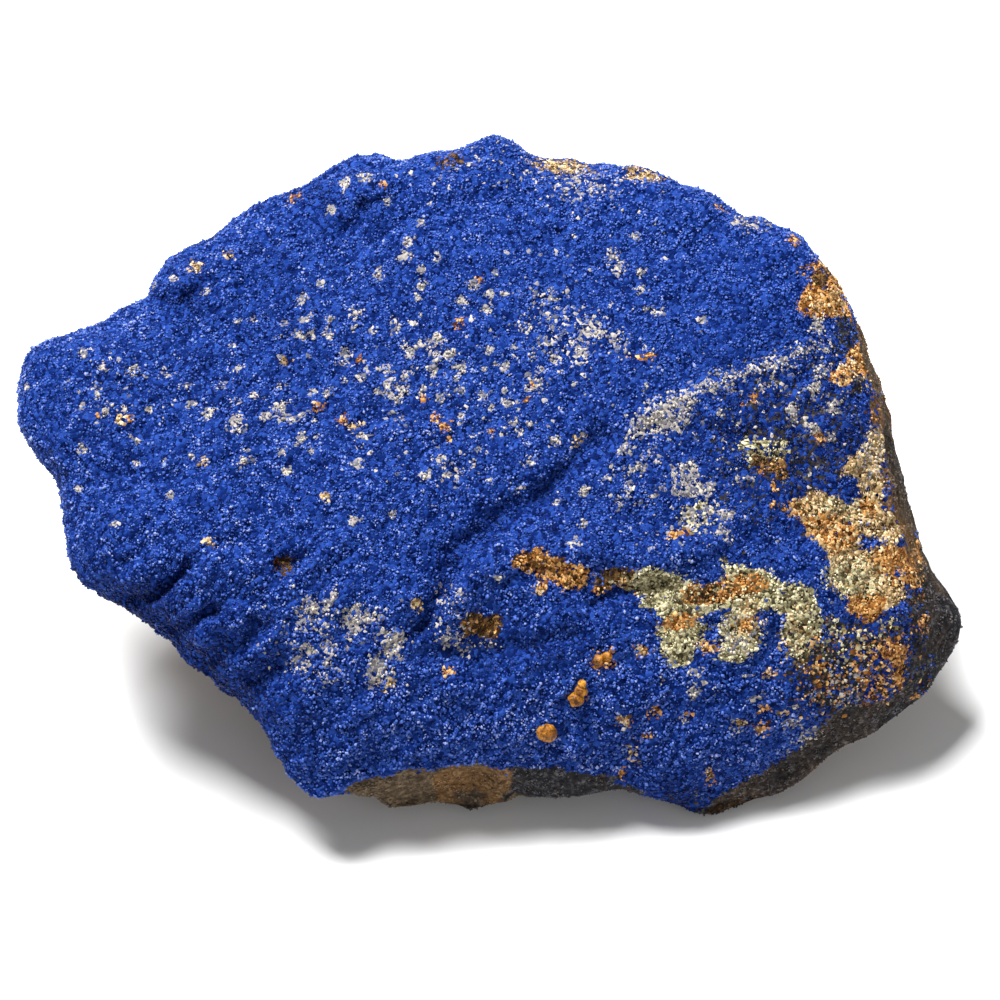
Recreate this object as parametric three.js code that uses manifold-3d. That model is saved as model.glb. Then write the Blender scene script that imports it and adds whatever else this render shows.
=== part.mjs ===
// Azurite specimen: a blue azurite crust grown on a wedge of sandstone, one natural stone.
// Millimetres, +Z up. The stone lies on its broken underside, and its blue face leans to -Y.
// The origin is on the ground under the middle of the stone.
import * as THREE from "three";
import { mergeVertices } from "three/addons/utils/BufferGeometryUtils.js";
import Module from "manifold-3d";

// Driving dimensions
const FACE_TILT = THREE.MathUtils.degToRad(50); // the face plane's outward line above level
const TAPER_DISTANCE = 400; // the outline's sides run to a point this far out from the face plane
const BASE_DROP = 24.5; // from the middle of the face plane down to the ground
const MIDDLE_X = -0.1; // where the middle of the face plane stands over the origin
const MIDDLE_Y = -6.1;
const RING_CENTRE = [-3, 1.5]; // the outline is star shaped about this point of the face plane
const SPHERE_DETAIL = 20; // each of a sphere's 20 first triangles is cut into 21 by 21
const FRONT_SHARE = 0.2; // how far below the sphere's equator the face side still reaches
const RIM_CROWDING = 0.3; // how strongly the triangles gather at the rim
const FACE_ROUNDING = [7, 2.3]; // the rim's rounding on the face side
const BACK_ROUNDING = [6, 2.2]; // and on the broken side
const FACE_BLEND = 0.7; // softness of the edges between the facets of the face
const BACK_BLEND = 0.5; // and between the broken facets
const SKIN_SWELL = [0.3, 5.5]; // height and spacing of the crust's gentle swell
const SKIN_GRIT = [0.16, 2.4]; // height and spacing of the crust's small lumps
const BREAK_SWELL = [0.7, 8]; // the same on the broken stone
const BREAK_GRIT = [0.3, 3.2];
const RIM_UNDERCUT = 1; // the rim lies at least this far behind the face's edge
const BACK_DEPTH = 1.5; // and at least this far in front of the broken side
const MIX_FROM = 0.85; // from here out to the rim the two skins pass into each other
const NODULE_SINK = 0.4; // share of its radius by which a nodule sits in the crust
const NODULE_SWELL = [0.2, 0.9]; // unevenness of a nodule, as a share of its radius

// The outline on the face plane, clockwise from the left tip
const OUTLINE = [
  [-35.9, 6.1], [-35.9, 7.2], [-35.3, 9.5], [-33.8, 10.6], [-30.8, 11.2], [-29.3, 11.6],
  [-27.7, 12.8], [-25.8, 13.8], [-25.8, 14.8], [-24.9, 16.7], [-23.2, 17.6], [-21.4, 18.4],
  [-19.3, 20.2], [-16.7, 21.3], [-14.4, 22.5], [-12.8, 23.6], [-10, 24.8], [-7.8, 24.5],
  [-6.6, 24.3], [-4.6, 25], [-2.4, 25.2], [-0.2, 25.8], [1.9, 25.5], [4.2, 24.5],
  [7.1, 24.3], [9, 24.2], [11.4, 23.8], [13.1, 23.3], [15.4, 22.2], [17.3, 21.7],
  [18.6, 20.3], [20.9, 19.5], [23.6, 18.5], [25.1, 16.9], [26.4, 14.8], [28, 11.7],
  [29.4, 8.9], [30.2, 5.7], [31, 1.9], [31.9, -2.4], [33.1, -5.7], [34.4, -8.1],
  [35.7, -10.3], [35.9, -11.4], [34.7, -13.7], [33.4, -16], [31.2, -17.7], [28.3, -19.7],
  [25.5, -21.1], [22.6, -22.9], [19.9, -24.6], [17.3, -25.7], [14.7, -25.6], [12.9, -24.2],
  [10.3, -23.4], [6.1, -23.9], [2.3, -24.3], [-1.7, -25.2], [-3.3, -24.5], [-5.2, -24.5],
  [-7.2, -25.2], [-8.9, -24.2], [-10.6, -23.6], [-12.9, -24.4], [-14.7, -23.4], [-16.2, -21.3],
  [-17.6, -18.6], [-18.8, -16.5], [-20.5, -15.8], [-23, -14], [-25.2, -12.1], [-26.9, -10.3],
  [-29, -9.1], [-31, -8], [-32.1, -6.1], [-32.5, -3], [-32.9, -0.5], [-34.2, 1.6],
  [-35.4, 3.8],
];

// How far the rim lies in front of the face plane, by angle round the ring centre in degrees
const RIM = [
  [-170, -4.5], [-145, -3.8], [-120, -2.6], [-95, -5.2], [-75, -6.5], [-55, -8], [-40, -9.2],
  [-22, -10.2], [0, -10.4], [25, -10.4], [50, -11.2], [70, -12], [90, -12.6], [110, -12],
  [135, -9.8], [160, -8], [180, -6.4],
];

// Facets of the face: height at the point x, y, and its slope along x and along y
const FACE_FACETS = [
  { at: [0, 0], height: 0, slope: [0, -0.3] }, // main face
  { at: [11.4, 4.6], height: -1.38, slope: [-0.1, -0.06] }, // terrace to the right and below
  { at: [0, -12.2], height: 0.6, slope: [-0.12, 0.32] }, // lower facet
  { at: [12.5, -23.7], height: -4.4, slope: [-0.52, 1.3] }, // side wall at the lower right
  { at: [30, 3.8], height: -3.5, slope: [-1.96, -0.39] }, // side wall at the right
  { at: [-24, -10], height: 2.6, slope: [0.5, 0.7] }, // facet at the lower left
];

// Facets of the broken side: outward direction, and distance from the middle of the face plane
const BACK_FACETS = [
  { out: [0, 0, -1], reach: 26 }, // underside, which the ground level then cuts flat
  { out: [0.08, 0.97, -0.2], reach: 25.5 }, // rear
  { out: [-0.72, 0.55, -0.42], reach: 26 }, // rear left
  { out: [0.7, 0.62, -0.36], reach: 28.5 }, // rear right
  { out: [-0.75, -0.15, -0.64], reach: 27.5 }, // under the left lobe
  { out: [-0.45, -0.5, -0.74], reach: 25 }, // under the lower left edge
  { out: [0.05, -0.6, -0.8], reach: 27.5 }, // under the front edge
  { out: [0.82, 0.05, -0.57], reach: 34 }, // under the right tip
];

// Lumps and pits of the face: x, y, two radii, turn in degrees, height
const LUMPS = [
  // rim lumps from the top round to the right tip
  [-9.5, 22.4, 2.9, 1.7, 0, 1], [-3, 23.4, 2.3, 1.4, 0, 0.7], [0.5, 23.4, 2.6, 1.5, 0, 0.8],
  [5.3, 21.7, 1.7, 1.2, 0, 0.5], [8.7, 21.3, 1.9, 1.5, 0, 0.5], [13.3, 20.1, 1.9, 1.7, 0, 0.5],
  [17.9, 17.9, 2.3, 1.8, 0, 0.5], [22.8, 17.1, 2.3, 1.9, 0, 0.7], [21.7, 13.8, 2, 1.5, 0, 0.4],
  // left lobe and its neighbours
  [-23.9, 15.6, 1.8, 1.8, 0, 1.1], [-19.9, 16.3, 1.5, 1.2, 0, 0.5], [-17, 18.4, 1.8, 1.1, 25, 0.4],
  [-32.7, 8.2, 3.4, 2.1, 0, 0.4], [-28.7, 10.3, 1.7, 1.1, 0, 0.3], [-30.4, 3.8, 3, 2.6, 0, 0.4],
  [-28.7, -2.7, 3, 2.7, 0, 0.5], [-20.5, -1.7, 1.8, 1.4, 0, 0.5],
  // main face
  [-6.5, 17.8, 1.4, 1.2, 0, 0.35], [-10.6, 18.8, 1.4, 2, 0, -0.35], [4.2, 18.1, 2.1, 1.1, 0, -0.3],
  [15.2, 18.2, 1.2, 1.1, 0, -0.25], [-25.8, 5.7, 0.7, 1.4, 0, -0.3], [-8.5, 1.4, 1.1, 0.5, 0, -0.25],
  [-15.2, -6.6, 1, 0.8, 0, -0.9],
  // terrace
  [15.2, -5.3, 2.7, 1.4, 0, 0.5], [19.2, -2.7, 2, 1.5, 0, 0.35], [25.2, -6.5, 2, 2.3, 0, 0.5],
  [27, 3.8, 1.5, 2.3, 0, 0.5], [-0.5, -11.2, 1.4, 0.9, 0, -0.8], [4.8, -6.8, 2.7, 1, -12, -0.35],
  [17, -10.8, 0.7, 1.2, 0, -0.5], [21.7, -11.2, 0.8, 1.5, 0, -0.5],
  // lower facet
  [-2.7, -16, 3.6, 0.9, 0, 0.35], [11.4, -16, 1.8, 1.4, 0, 0.3], [18.6, -16, 1.5, 1.4, 0, 0.3],
  [15.2, -20.1, 1.7, 1.4, 0, 0.35], [23, -16.7, 2, 1.5, 0, 0.4], [-10.6, -18.4, 2.4, 1.2, 20, 0.3],
  [-14.4, -22, 1.8, 1.5, 0, 0.5], [5.3, -16, 2.3, 1.1, 0, 0.25], [7.6, -21.4, 2.3, 0.8, 0, 0.25],
  [-0.4, -20.1, 1, 0.6, 0, -0.35], [4.8, -20.4, 0.9, 0.5, 0, -0.3], [20.5, -17.1, 0.5, 1.1, 0, -0.35],
  [10, -22.2, 1.1, 0.6, 0, -0.35], [16, -23.6, 2.3, 1.1, 0, 0.5],
];

// Grooves and ridges of the face: widths to the left and right of the line, height, and the line
const LINES = [
  // groove across the face, deeper in its lower half
  { widths: [0.8, 0.9], height: -0.75, path: [[8.7, 3.4], [7.2, 1.9], [6, 0.7]] },
  {
    widths: [0.8, 1.2],
    height: -1.2,
    path: [[4.8, -0.4], [3, -1.9], [0.2, -3.4], [-1.7, -5.2], [-3, -7.2], [-4.1, -9.5], [-4.9, -11.2]],
  },
  // crack under the tongue
  { widths: [0.5, 0.5], height: -0.8, path: [[7.8, -9.4], [9.5, -8.5], [11.4, -8.1], [13.1, -7.8]] },
  // crease round the top left lobe
  {
    widths: [0.7, 0.7],
    height: -0.9,
    path: [[-25.7, 13.7], [-23.7, 13.1], [-22.3, 14.4], [-21.7, 16.1]],
  },
  // dents between the rim lumps
  { widths: [0.8, 0.8], height: -0.5, path: [[-13.1, 22], [-12.2, 20.9], [-10.8, 18.6]] },
  { widths: [0.6, 0.6], height: -0.4, path: [[-9.7, 20.9], [-8, 21.1], [-6.8, 22]] },
  // creases of the terrace
  { widths: [0.8, 0.8], height: -0.4, path: [[16, 4.2], [18.6, 3], [20.5, 3.6]] },
  { widths: [0.7, 0.7], height: -0.5, path: [[20.7, 2.3], [22.8, 0.8], [23.6, -1.5]] },
  // furrows at the lower left, from the edge inwards
  {
    widths: [1, 0.7],
    height: -1.8,
    path: [[-28.3, -9.4], [-27, -9.1], [-25.8, -8.7], [-24.3, -8.1], [-23.4, -6.9]],
  },
  {
    widths: [0.7, 0.6],
    height: -1.2,
    path: [[-24.2, -11.6], [-23.3, -11.1], [-22.3, -10.5], [-21, -10]],
  },
  {
    widths: [0.9, 0.7],
    height: -1.2,
    path: [[-22.3, -14.3], [-21.4, -13.7], [-20.1, -12.9], [-18.5, -12.2], [-17.3, -11.4]],
  },
  { widths: [0.8, 0.8], height: -1.1, path: [[-19.8, -16], [-18.7, -15.2], [-17.3, -14.6], [-16, -14]] },
  { widths: [0.7, 0.7], height: -0.35, path: [[-17.3, -16], [-14.4, -13.7], [-11, -11]] },
  // hollow under the ledge
  { widths: [0.8, 0.8], height: -0.6, path: [[-5.3, -13.1], [-1.5, -12.8], [3, -12.6], [6.5, -11.6]] },
  // short crease of the main face
  { widths: [0.6, 0.6], height: -0.3, path: [[-11.4, 7.2], [-10.5, 9.9]] },
  // tongue, steep on its lower side, where it ends in the ledge
  {
    widths: [1.4, 2.1],
    height: 1.1,
    path: [[12.9, -6.2], [9.1, -5.9], [5.3, -5.5], [1.5, -6.1], [-1.5, -7.6], [-3.4, -10]],
  },
  // low ridge between the main face and the terrace
  { widths: [0.8, 0.8], height: 0.35, path: [[11.4, 4.6], [16, 7], [19.4, 8.2], [22.8, 9.1], [25.8, 10.6]] },
  // ridges between the furrows at the lower left
  { widths: [0.9, 0.9], height: 0.5, path: [[-26.1, -10.3], [-24.5, -9.1], [-22, -7.4], [-20.4, -6.1]] },
  {
    widths: [0.7, 0.7],
    height: 0.6,
    path: [[-23.7, -12.2], [-22.3, -11.7], [-20.8, -10.9], [-19.3, -9.9]],
  },
  { widths: [0.7, 0.7], height: 0.4, path: [[-21, -14.7], [-19.6, -14], [-18.2, -13.2], [-16.7, -12.2]] },
];

// The lip where the crust ends above the bare front edge, from left to right
const LIP = [
  [-10.9, -23.7], [-9.5, -22.8], [-6.5, -22], [-2.7, -21.7], [-1.1, -21.1], [0.8, -22.4],
  [4.2, -23.2], [8.4, -23], [11.4, -23.4],
];
const LIP_THICKNESS = 0.9; // the crust's step down to the bare stone
const LIP_EDGE = 0.35; // width over which it steps down
const LIP_SLOPE = 1.3; // how steeply the bare stone falls away below it

// Nodules: x, y, radius
const NODULES = [
  [4.3, -19.2, 0.72], [6.5, -16.6, 0.6], [6.9, -16, 0.5], [7, -15.5, 0.35], [8.2, -13.7, 0.5],
  [8.9, -13.4, 0.4], [9.3, -12.9, 0.3],
];

const smooth = (t) => t * t * (3 - 2 * t);
const ramp = (value, from, to) => smooth(THREE.MathUtils.clamp((value - from) / (to - from), 0, 1));

// Outline as angle and reach round the ring centre, in order of angle
const spokes = OUTLINE.map(([x, y]) => ({
  angle: Math.atan2(y - RING_CENTRE[1], x - RING_CENTRE[0]),
  reach: Math.hypot(x - RING_CENTRE[0], y - RING_CENTRE[1]),
})).sort((p, q) => p.angle - q.angle);

// Straight line between neighbouring entries of a closed table of [angle, value]
function aroundTable(table, angle) {
  const turn = 2 * Math.PI;
  const wrapped = angle - turn * Math.floor((angle - table[0][0]) / turn);
  let next = table.findIndex((entry) => entry[0] > wrapped);
  if (next < 0) next = table.length;
  const [fromAngle, fromValue] = table[next - 1];
  const [toAngle, toValue] = next < table.length ? table[next] : [table[0][0] + turn, table[0][1]];
  return fromValue + ((toValue - fromValue) * (wrapped - fromAngle)) / (toAngle - fromAngle);
}

const reachTable = spokes.map((spoke) => [spoke.angle, spoke.reach]);
const rimTable = RIM.map(([degrees, height]) => [THREE.MathUtils.degToRad(degrees), height]);
const OUTLINE_SOFTENING = [-0.02, -0.01, 0, 0.01, 0.02]; // radians over which corners are rounded
const RIM_SOFTENING = [-0.12, -0.08, -0.04, 0, 0.04, 0.08, 0.12];

// Mean of a function of the angle over small offsets to both sides
function softened(valueAt, angle, offsets) {
  return offsets.reduce((sum, offset) => sum + valueAt(angle + offset), 0) / offsets.length;
}

// The point of the face plane that lies in a given direction, out being 1 on the outline
function pointAt(angle, out) {
  const reach = out * softened((a) => aroundTable(reachTable, a), angle, OUTLINE_SOFTENING);
  return [RING_CENTRE[0] + reach * Math.cos(angle), RING_CENTRE[1] + reach * Math.sin(angle)];
}

// Distance from a point to a line of points, and the side on which the point lies (left is above 0)
function fromPath(x, y, path) {
  let best = { distance: Infinity, side: 0 };
  for (let i = 1; i < path.length; i += 1) {
    const [ax, ay] = path[i - 1];
    const dx = path[i][0] - ax;
    const dy = path[i][1] - ay;
    const t = THREE.MathUtils.clamp(((x - ax) * dx + (y - ay) * dy) / (dx * dx + dy * dy), 0, 1);
    const distance = Math.hypot(x - ax - t * dx, y - ay - t * dy);
    if (distance < best.distance) best = { distance, side: dx * (y - ay) - dy * (x - ax) };
  }
  return best;
}

// Height of the face over the face plane
function faceHeight(x, y) {
  let sum = 0;
  for (const { at, height, slope } of FACE_FACETS) {
    const level = height + slope[0] * (x - at[0]) + slope[1] * (y - at[1]);
    sum += Math.exp(-level / FACE_BLEND);
  }
  let height = -FACE_BLEND * Math.log(sum);
  for (const [cx, cy, rx, ry, degrees, rise] of LUMPS) {
    const turn = THREE.MathUtils.degToRad(degrees);
    const u = ((x - cx) * Math.cos(turn) + (y - cy) * Math.sin(turn)) / rx;
    const v = ((y - cy) * Math.cos(turn) - (x - cx) * Math.sin(turn)) / ry;
    height += rise * Math.exp(-u * u - v * v);
  }
  for (const { widths, height: rise, path } of LINES) {
    const { distance, side } = fromPath(x, y, path);
    const width = side > 0 ? widths[0] : widths[1];
    height += rise * Math.exp(-((distance / width) ** 2));
  }
  const lip = fromPath(x, y, LIP);
  const withinLip = ramp(x, LIP[0][0] - 1, LIP[0][0] + 1) * (1 - ramp(x, LIP.at(-1)[0] - 2, LIP.at(-1)[0]));
  if (lip.side < 0) {
    const drop = LIP_THICKNESS * ramp(lip.distance, 0, LIP_EDGE) + LIP_SLOPE * lip.distance;
    height -= withinLip * drop;
  }
  return height;
}

// Height of the rim over the face plane, always behind the face's edge
function rimHeight(angle) {
  const atEdge = (a) => Math.min(aroundTable(rimTable, a), faceHeight(...pointAt(a, 1)) - RIM_UNDERCUT);
  return softened(atEdge, angle, RIM_SOFTENING);
}

// A point given on the face plane and by its height over it, in the stone's own frame
function placed(x, y, height) {
  const taper = (TAPER_DISTANCE - height) / TAPER_DISTANCE;
  const up = y * taper;
  return new THREE.Vector3(
    MIDDLE_X + x * taper,
    MIDDLE_Y + up * Math.sin(FACE_TILT) - height * Math.cos(FACE_TILT),
    BASE_DROP + up * Math.cos(FACE_TILT) + height * Math.sin(FACE_TILT),
  );
}

// Height of the broken side over the face plane, at the same point of the face plane
function backHeight(x, y) {
  const sine = Math.sin(FACE_TILT);
  const cosine = Math.cos(FACE_TILT);
  let sum = 0;
  for (const { out, reach } of BACK_FACETS) {
    const sideways = x * out[0] + y * (sine * out[1] + cosine * out[2]);
    const inwards = sine * out[2] - cosine * out[1] - sideways / TAPER_DISTANCE;
    sum += Math.exp((reach - sideways) / inwards / BACK_BLEND);
  }
  return BACK_BLEND * Math.log(sum);
}

// Smooth unevenness in space between -1 and 1, with about the given spacing
function unevenness(point, spacing, seed) {
  const p = [point.x / spacing, point.y / spacing, point.z / spacing];
  const cell = p.map(Math.floor);
  const part = p.map((value, i) => smooth(value - cell[i]));
  let total = 0;
  for (let corner = 0; corner < 8; corner += 1) {
    const step = [corner & 1, (corner >> 1) & 1, corner >> 2];
    const [i, j, k] = cell.map((value, axis) => value + step[axis]);
    const wave = Math.sin(i * 127.1 + j * 311.7 + k * 74.7 + seed * 19.19) * 43758.5453;
    const weight = step.reduce((w, on, axis) => w * (on ? part[axis] : 1 - part[axis]), 1);
    total += weight * (2 * (wave - Math.floor(wave)) - 1);
  }
  return total;
}

// The stone: an evenly divided sphere pulled onto the face, the rim and the broken side
const mergedSphere = (radius, detail) => {
  const sphere = new THREE.IcosahedronGeometry(radius, detail);
  sphere.deleteAttribute("normal");
  sphere.deleteAttribute("uv");
  return mergeVertices(sphere, 1e-5);
};
const stone = mergedSphere(1, SPHERE_DETAIL);
const position = stone.getAttribute("position");
const brokenShare = [];
for (let i = 0; i < position.count; i += 1) {
  const sphere = new THREE.Vector3().fromBufferAttribute(position, i);
  const onFace = sphere.z >= -FRONT_SHARE;
  const share = onFace ? (1 - sphere.z) / (1 + FRONT_SHARE) : (1 + sphere.z) / (1 - FRONT_SHARE);
  const ring = Math.sqrt(THREE.MathUtils.clamp(share, 0, 1));
  const out = ring * (1 + RIM_CROWDING * (1 - ring * ring));
  const angle = Math.atan2(sphere.y, sphere.x);
  const [x, y] = pointAt(angle, out);
  const rim = rimHeight(angle);
  const [power, root] = onFace ? FACE_ROUNDING : BACK_ROUNDING;
  const full = (1 - Math.min(out, 1) ** power) ** (1 / root);
  const target = onFace ? faceHeight(x, y) : Math.min(backHeight(x, y), rim - BACK_DEPTH);
  const height = rim + full * (target - rim);
  const point = placed(x, y, height);
  position.setXYZ(i, point.x, point.y, point.z);
  const mix = ramp(out, MIX_FROM, 1) / 2;
  brokenShare.push(onFace ? mix : 1 - mix);
}

// Natural unevenness along the surface's own outward direction, and the flat that the stone lies on
stone.computeVertexNormals();
const outward = stone.getAttribute("normal");
for (let i = 0; i < position.count; i += 1) {
  const point = new THREE.Vector3().fromBufferAttribute(position, i);
  const skin =
    SKIN_SWELL[0] * unevenness(point, SKIN_SWELL[1], 1) + SKIN_GRIT[0] * unevenness(point, SKIN_GRIT[1], 2);
  const broken =
    BREAK_SWELL[0] * unevenness(point, BREAK_SWELL[1], 3) +
    BREAK_GRIT[0] * unevenness(point, BREAK_GRIT[1], 4);
  const move = skin + (broken - skin) * brokenShare[i];
  const direction = new THREE.Vector3().fromBufferAttribute(outward, i);
  point.addScaledVector(direction, move);
  position.setXYZ(i, point.x, point.y, Math.max(point.z, 0));
}
stone.deleteAttribute("normal");

// The nodules, joined to the crust that they grow from
const wasm = await Module();
wasm.setup();
const solidOf = (geometry) =>
  new wasm.Manifold(
    new wasm.Mesh({
      numProp: 3,
      vertProperties: new Float32Array(geometry.getAttribute("position").array),
      triVerts: new Uint32Array(geometry.index.array),
    }),
  );

let solid = solidOf(stone);
NODULES.forEach(([x, y, radius], number) => {
  const nodule = mergedSphere(radius, 1);
  const spots = nodule.getAttribute("position");
  const foot = placed(x, y, faceHeight(x, y) - NODULE_SINK * radius);
  for (let i = 0; i < spots.count; i += 1) {
    const spot = new THREE.Vector3().fromBufferAttribute(spots, i);
    const swell = NODULE_SWELL[0] * unevenness(spot, NODULE_SWELL[1] * radius, number + 5);
    spot.multiplyScalar(1 + swell);
    spots.setXYZ(i, foot.x + spot.x, foot.y + spot.y, foot.z + spot.z);
  }
  solid = solid.add(solidOf(nodule));
});

const joined = solid.getMesh();
const stoneGeometry = new THREE.BufferGeometry();
stoneGeometry.setAttribute("position", new THREE.BufferAttribute(joined.vertProperties, 3));
stoneGeometry.setIndex(new THREE.BufferAttribute(joined.triVerts, 1));
stoneGeometry.computeVertexNormals();

const azurite = new THREE.MeshStandardMaterial({ color: "#36509c", roughness: 0.85, metalness: 0 });
const azuriteStone = new THREE.Mesh(stoneGeometry, azurite);
azuriteStone.name = "azurite_stone";

const specimen = new THREE.Group();
specimen.add(azuriteStone);

export default specimen;
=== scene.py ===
"""Azurite specimen: a sugary blue azurite crust on a wedge of sandstone, in metres, +Z up."""

import logging
import math
from dataclasses import dataclass, field
from enum import Enum

import bpy
import numpy as np
from mathutils import Matrix, Vector


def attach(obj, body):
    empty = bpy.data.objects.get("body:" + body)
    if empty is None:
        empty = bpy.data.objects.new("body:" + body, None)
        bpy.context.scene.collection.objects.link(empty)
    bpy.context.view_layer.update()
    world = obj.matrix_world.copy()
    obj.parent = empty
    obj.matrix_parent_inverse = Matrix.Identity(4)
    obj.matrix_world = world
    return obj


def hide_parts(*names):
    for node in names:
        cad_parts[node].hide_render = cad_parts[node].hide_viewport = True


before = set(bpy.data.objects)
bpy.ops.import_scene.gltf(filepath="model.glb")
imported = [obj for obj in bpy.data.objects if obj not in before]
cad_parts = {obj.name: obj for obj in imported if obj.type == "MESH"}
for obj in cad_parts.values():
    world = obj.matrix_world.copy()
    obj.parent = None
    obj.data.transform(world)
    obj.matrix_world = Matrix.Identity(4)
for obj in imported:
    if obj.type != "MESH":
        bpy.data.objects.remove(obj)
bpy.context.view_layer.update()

LOG = logging.getLogger("azurite")
MM = 0.001  # the shape is worked out in millimetres and stored in metres
NODE = "azurite_stone"
BAKE_MAP = "OFBake"

Array = np.ndarray
Blob = tuple[float, float, float, float, float, float]
Row = tuple[float, ...]
Path = tuple[tuple[float, float], ...]
Stops = tuple[tuple[float, tuple[float, float, float]], ...]


class Mineral(Enum):
    """What a grain of the stone's surface is made of."""

    AZURITE = "azurite"
    PALE = "pale"
    GREEN = "green"
    SAND = "sand"
    OCHRE = "ochre"
    BROWN = "brown"
    RUST = "rust"
    SLATE = "slate"
    BARE = "bare"


AZURITE, PALE, GREEN, SAND, OCHRE, BROWN, RUST, SLATE, BARE = Mineral


def smooth(t: Array) -> Array:
    """Eases 0..1 with the cubic 3t^2 - 2t^3."""
    return t * t * (3 - 2 * t)


def ramp(value: Array, low: float, high: float) -> Array:
    """Runs smoothly from 0 at low to 1 at high."""
    return smooth(np.clip((value - low) / (high - low), 0, 1))


def pairs(*numbers: float) -> Path:
    """Points from their coordinates in one row."""
    return tuple(zip(numbers[::2], numbers[1::2]))


def unevenness(points: Array, spacing: float, seed: int) -> Array:
    """Value noise: each corner of a cubic lattice has a value, blended smoothly in between.

    Args:
        points: positions in millimetres, last axis x, y, z.
        spacing: lattice step in millimetres.
        seed: picks the set of corner values.

    Returns:
        Values between -1 and 1, one for each point.
    """
    scaled = points / spacing
    cell = np.floor(scaled)
    part = smooth(scaled - cell)
    total = np.zeros(points.shape[:-1])
    for corner in range(8):
        step = np.array([corner & 1, (corner >> 1) & 1, corner >> 2])
        key = (cell + step) @ np.array([127.1, 311.7, 74.7]) + seed * 19.19
        wave = np.sin(key) * 43758.5453
        weight = np.prod(np.where(step == 1, part, 1 - part), axis=-1)
        total += weight * (2 * (wave - np.floor(wave)) - 1)
    return total


def from_path(x: Array, y: Array, path: Path) -> tuple[Array, Array]:
    """Distance to a line of points and the side of it, left being above 0.

    Args:
        x, y: coordinates on the face plane.
        path: the line's points in order.

    Returns:
        The distance to the nearest stretch, and the sign of the side on which the point lies.
    """
    best = np.full(x.shape, np.inf)
    side = np.zeros(x.shape)
    for (ax, ay), (bx, by) in zip(path, path[1:]):
        dx, dy = bx - ax, by - ay
        t = np.clip(((x - ax) * dx + (y - ay) * dy) / (dx * dx + dy * dy), 0, 1)
        distance = np.hypot(x - ax - t * dx, y - ay - t * dy)
        nearer = distance < best
        best = np.where(nearer, distance, best)
        side = np.where(nearer, dx * (y - ay) - dy * (x - ax), side)
    return best, side


@dataclass(frozen=True)
class Groove:
    """A groove or ridge along a line, with its own width on either side."""

    widths: tuple[float, float]
    height: float
    path: Path

    @classmethod
    def rows(cls, *rows: Row) -> tuple["Groove", ...]:
        """Grooves from rows of both widths, the height and the line's coordinates."""
        return tuple(cls((left, right), height, pairs(*line)) for left, right, height, *line in rows)

    def at(self, x: Array, y: Array) -> Array:
        """Its height at points of the face plane: height * exp(-(distance / width)^2)."""
        distance, side = from_path(x, y, self.path)
        return self.height * np.exp(-((distance / np.where(side > 0, *self.widths)) ** 2))


@dataclass
class FacePlane:
    """The leaning plane on which the outline is drawn, and the point that its sides run to."""

    tilt: float = math.radians(50)
    taper: float = 400.0
    middle: tuple[float, float, float] = (-0.1, -6.1, 24.5)

    def place(self, x: Array, y: Array, height: Array) -> Array:
        """Carries points of the face plane out by their height, drawing in towards the far point.

        Args:
            x, y: coordinates on the face plane.
            height: distance out from the plane.

        Returns:
            Positions in millimetres, last axis x, y, z.
        """
        shrink = (self.taper - height) / self.taper
        up = y * shrink
        return np.stack(
            [
                self.middle[0] + x * shrink,
                self.middle[1] + up * math.sin(self.tilt) - height * math.cos(self.tilt),
                self.middle[2] + up * math.cos(self.tilt) + height * math.sin(self.tilt),
            ],
            axis=-1,
        )


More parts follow.
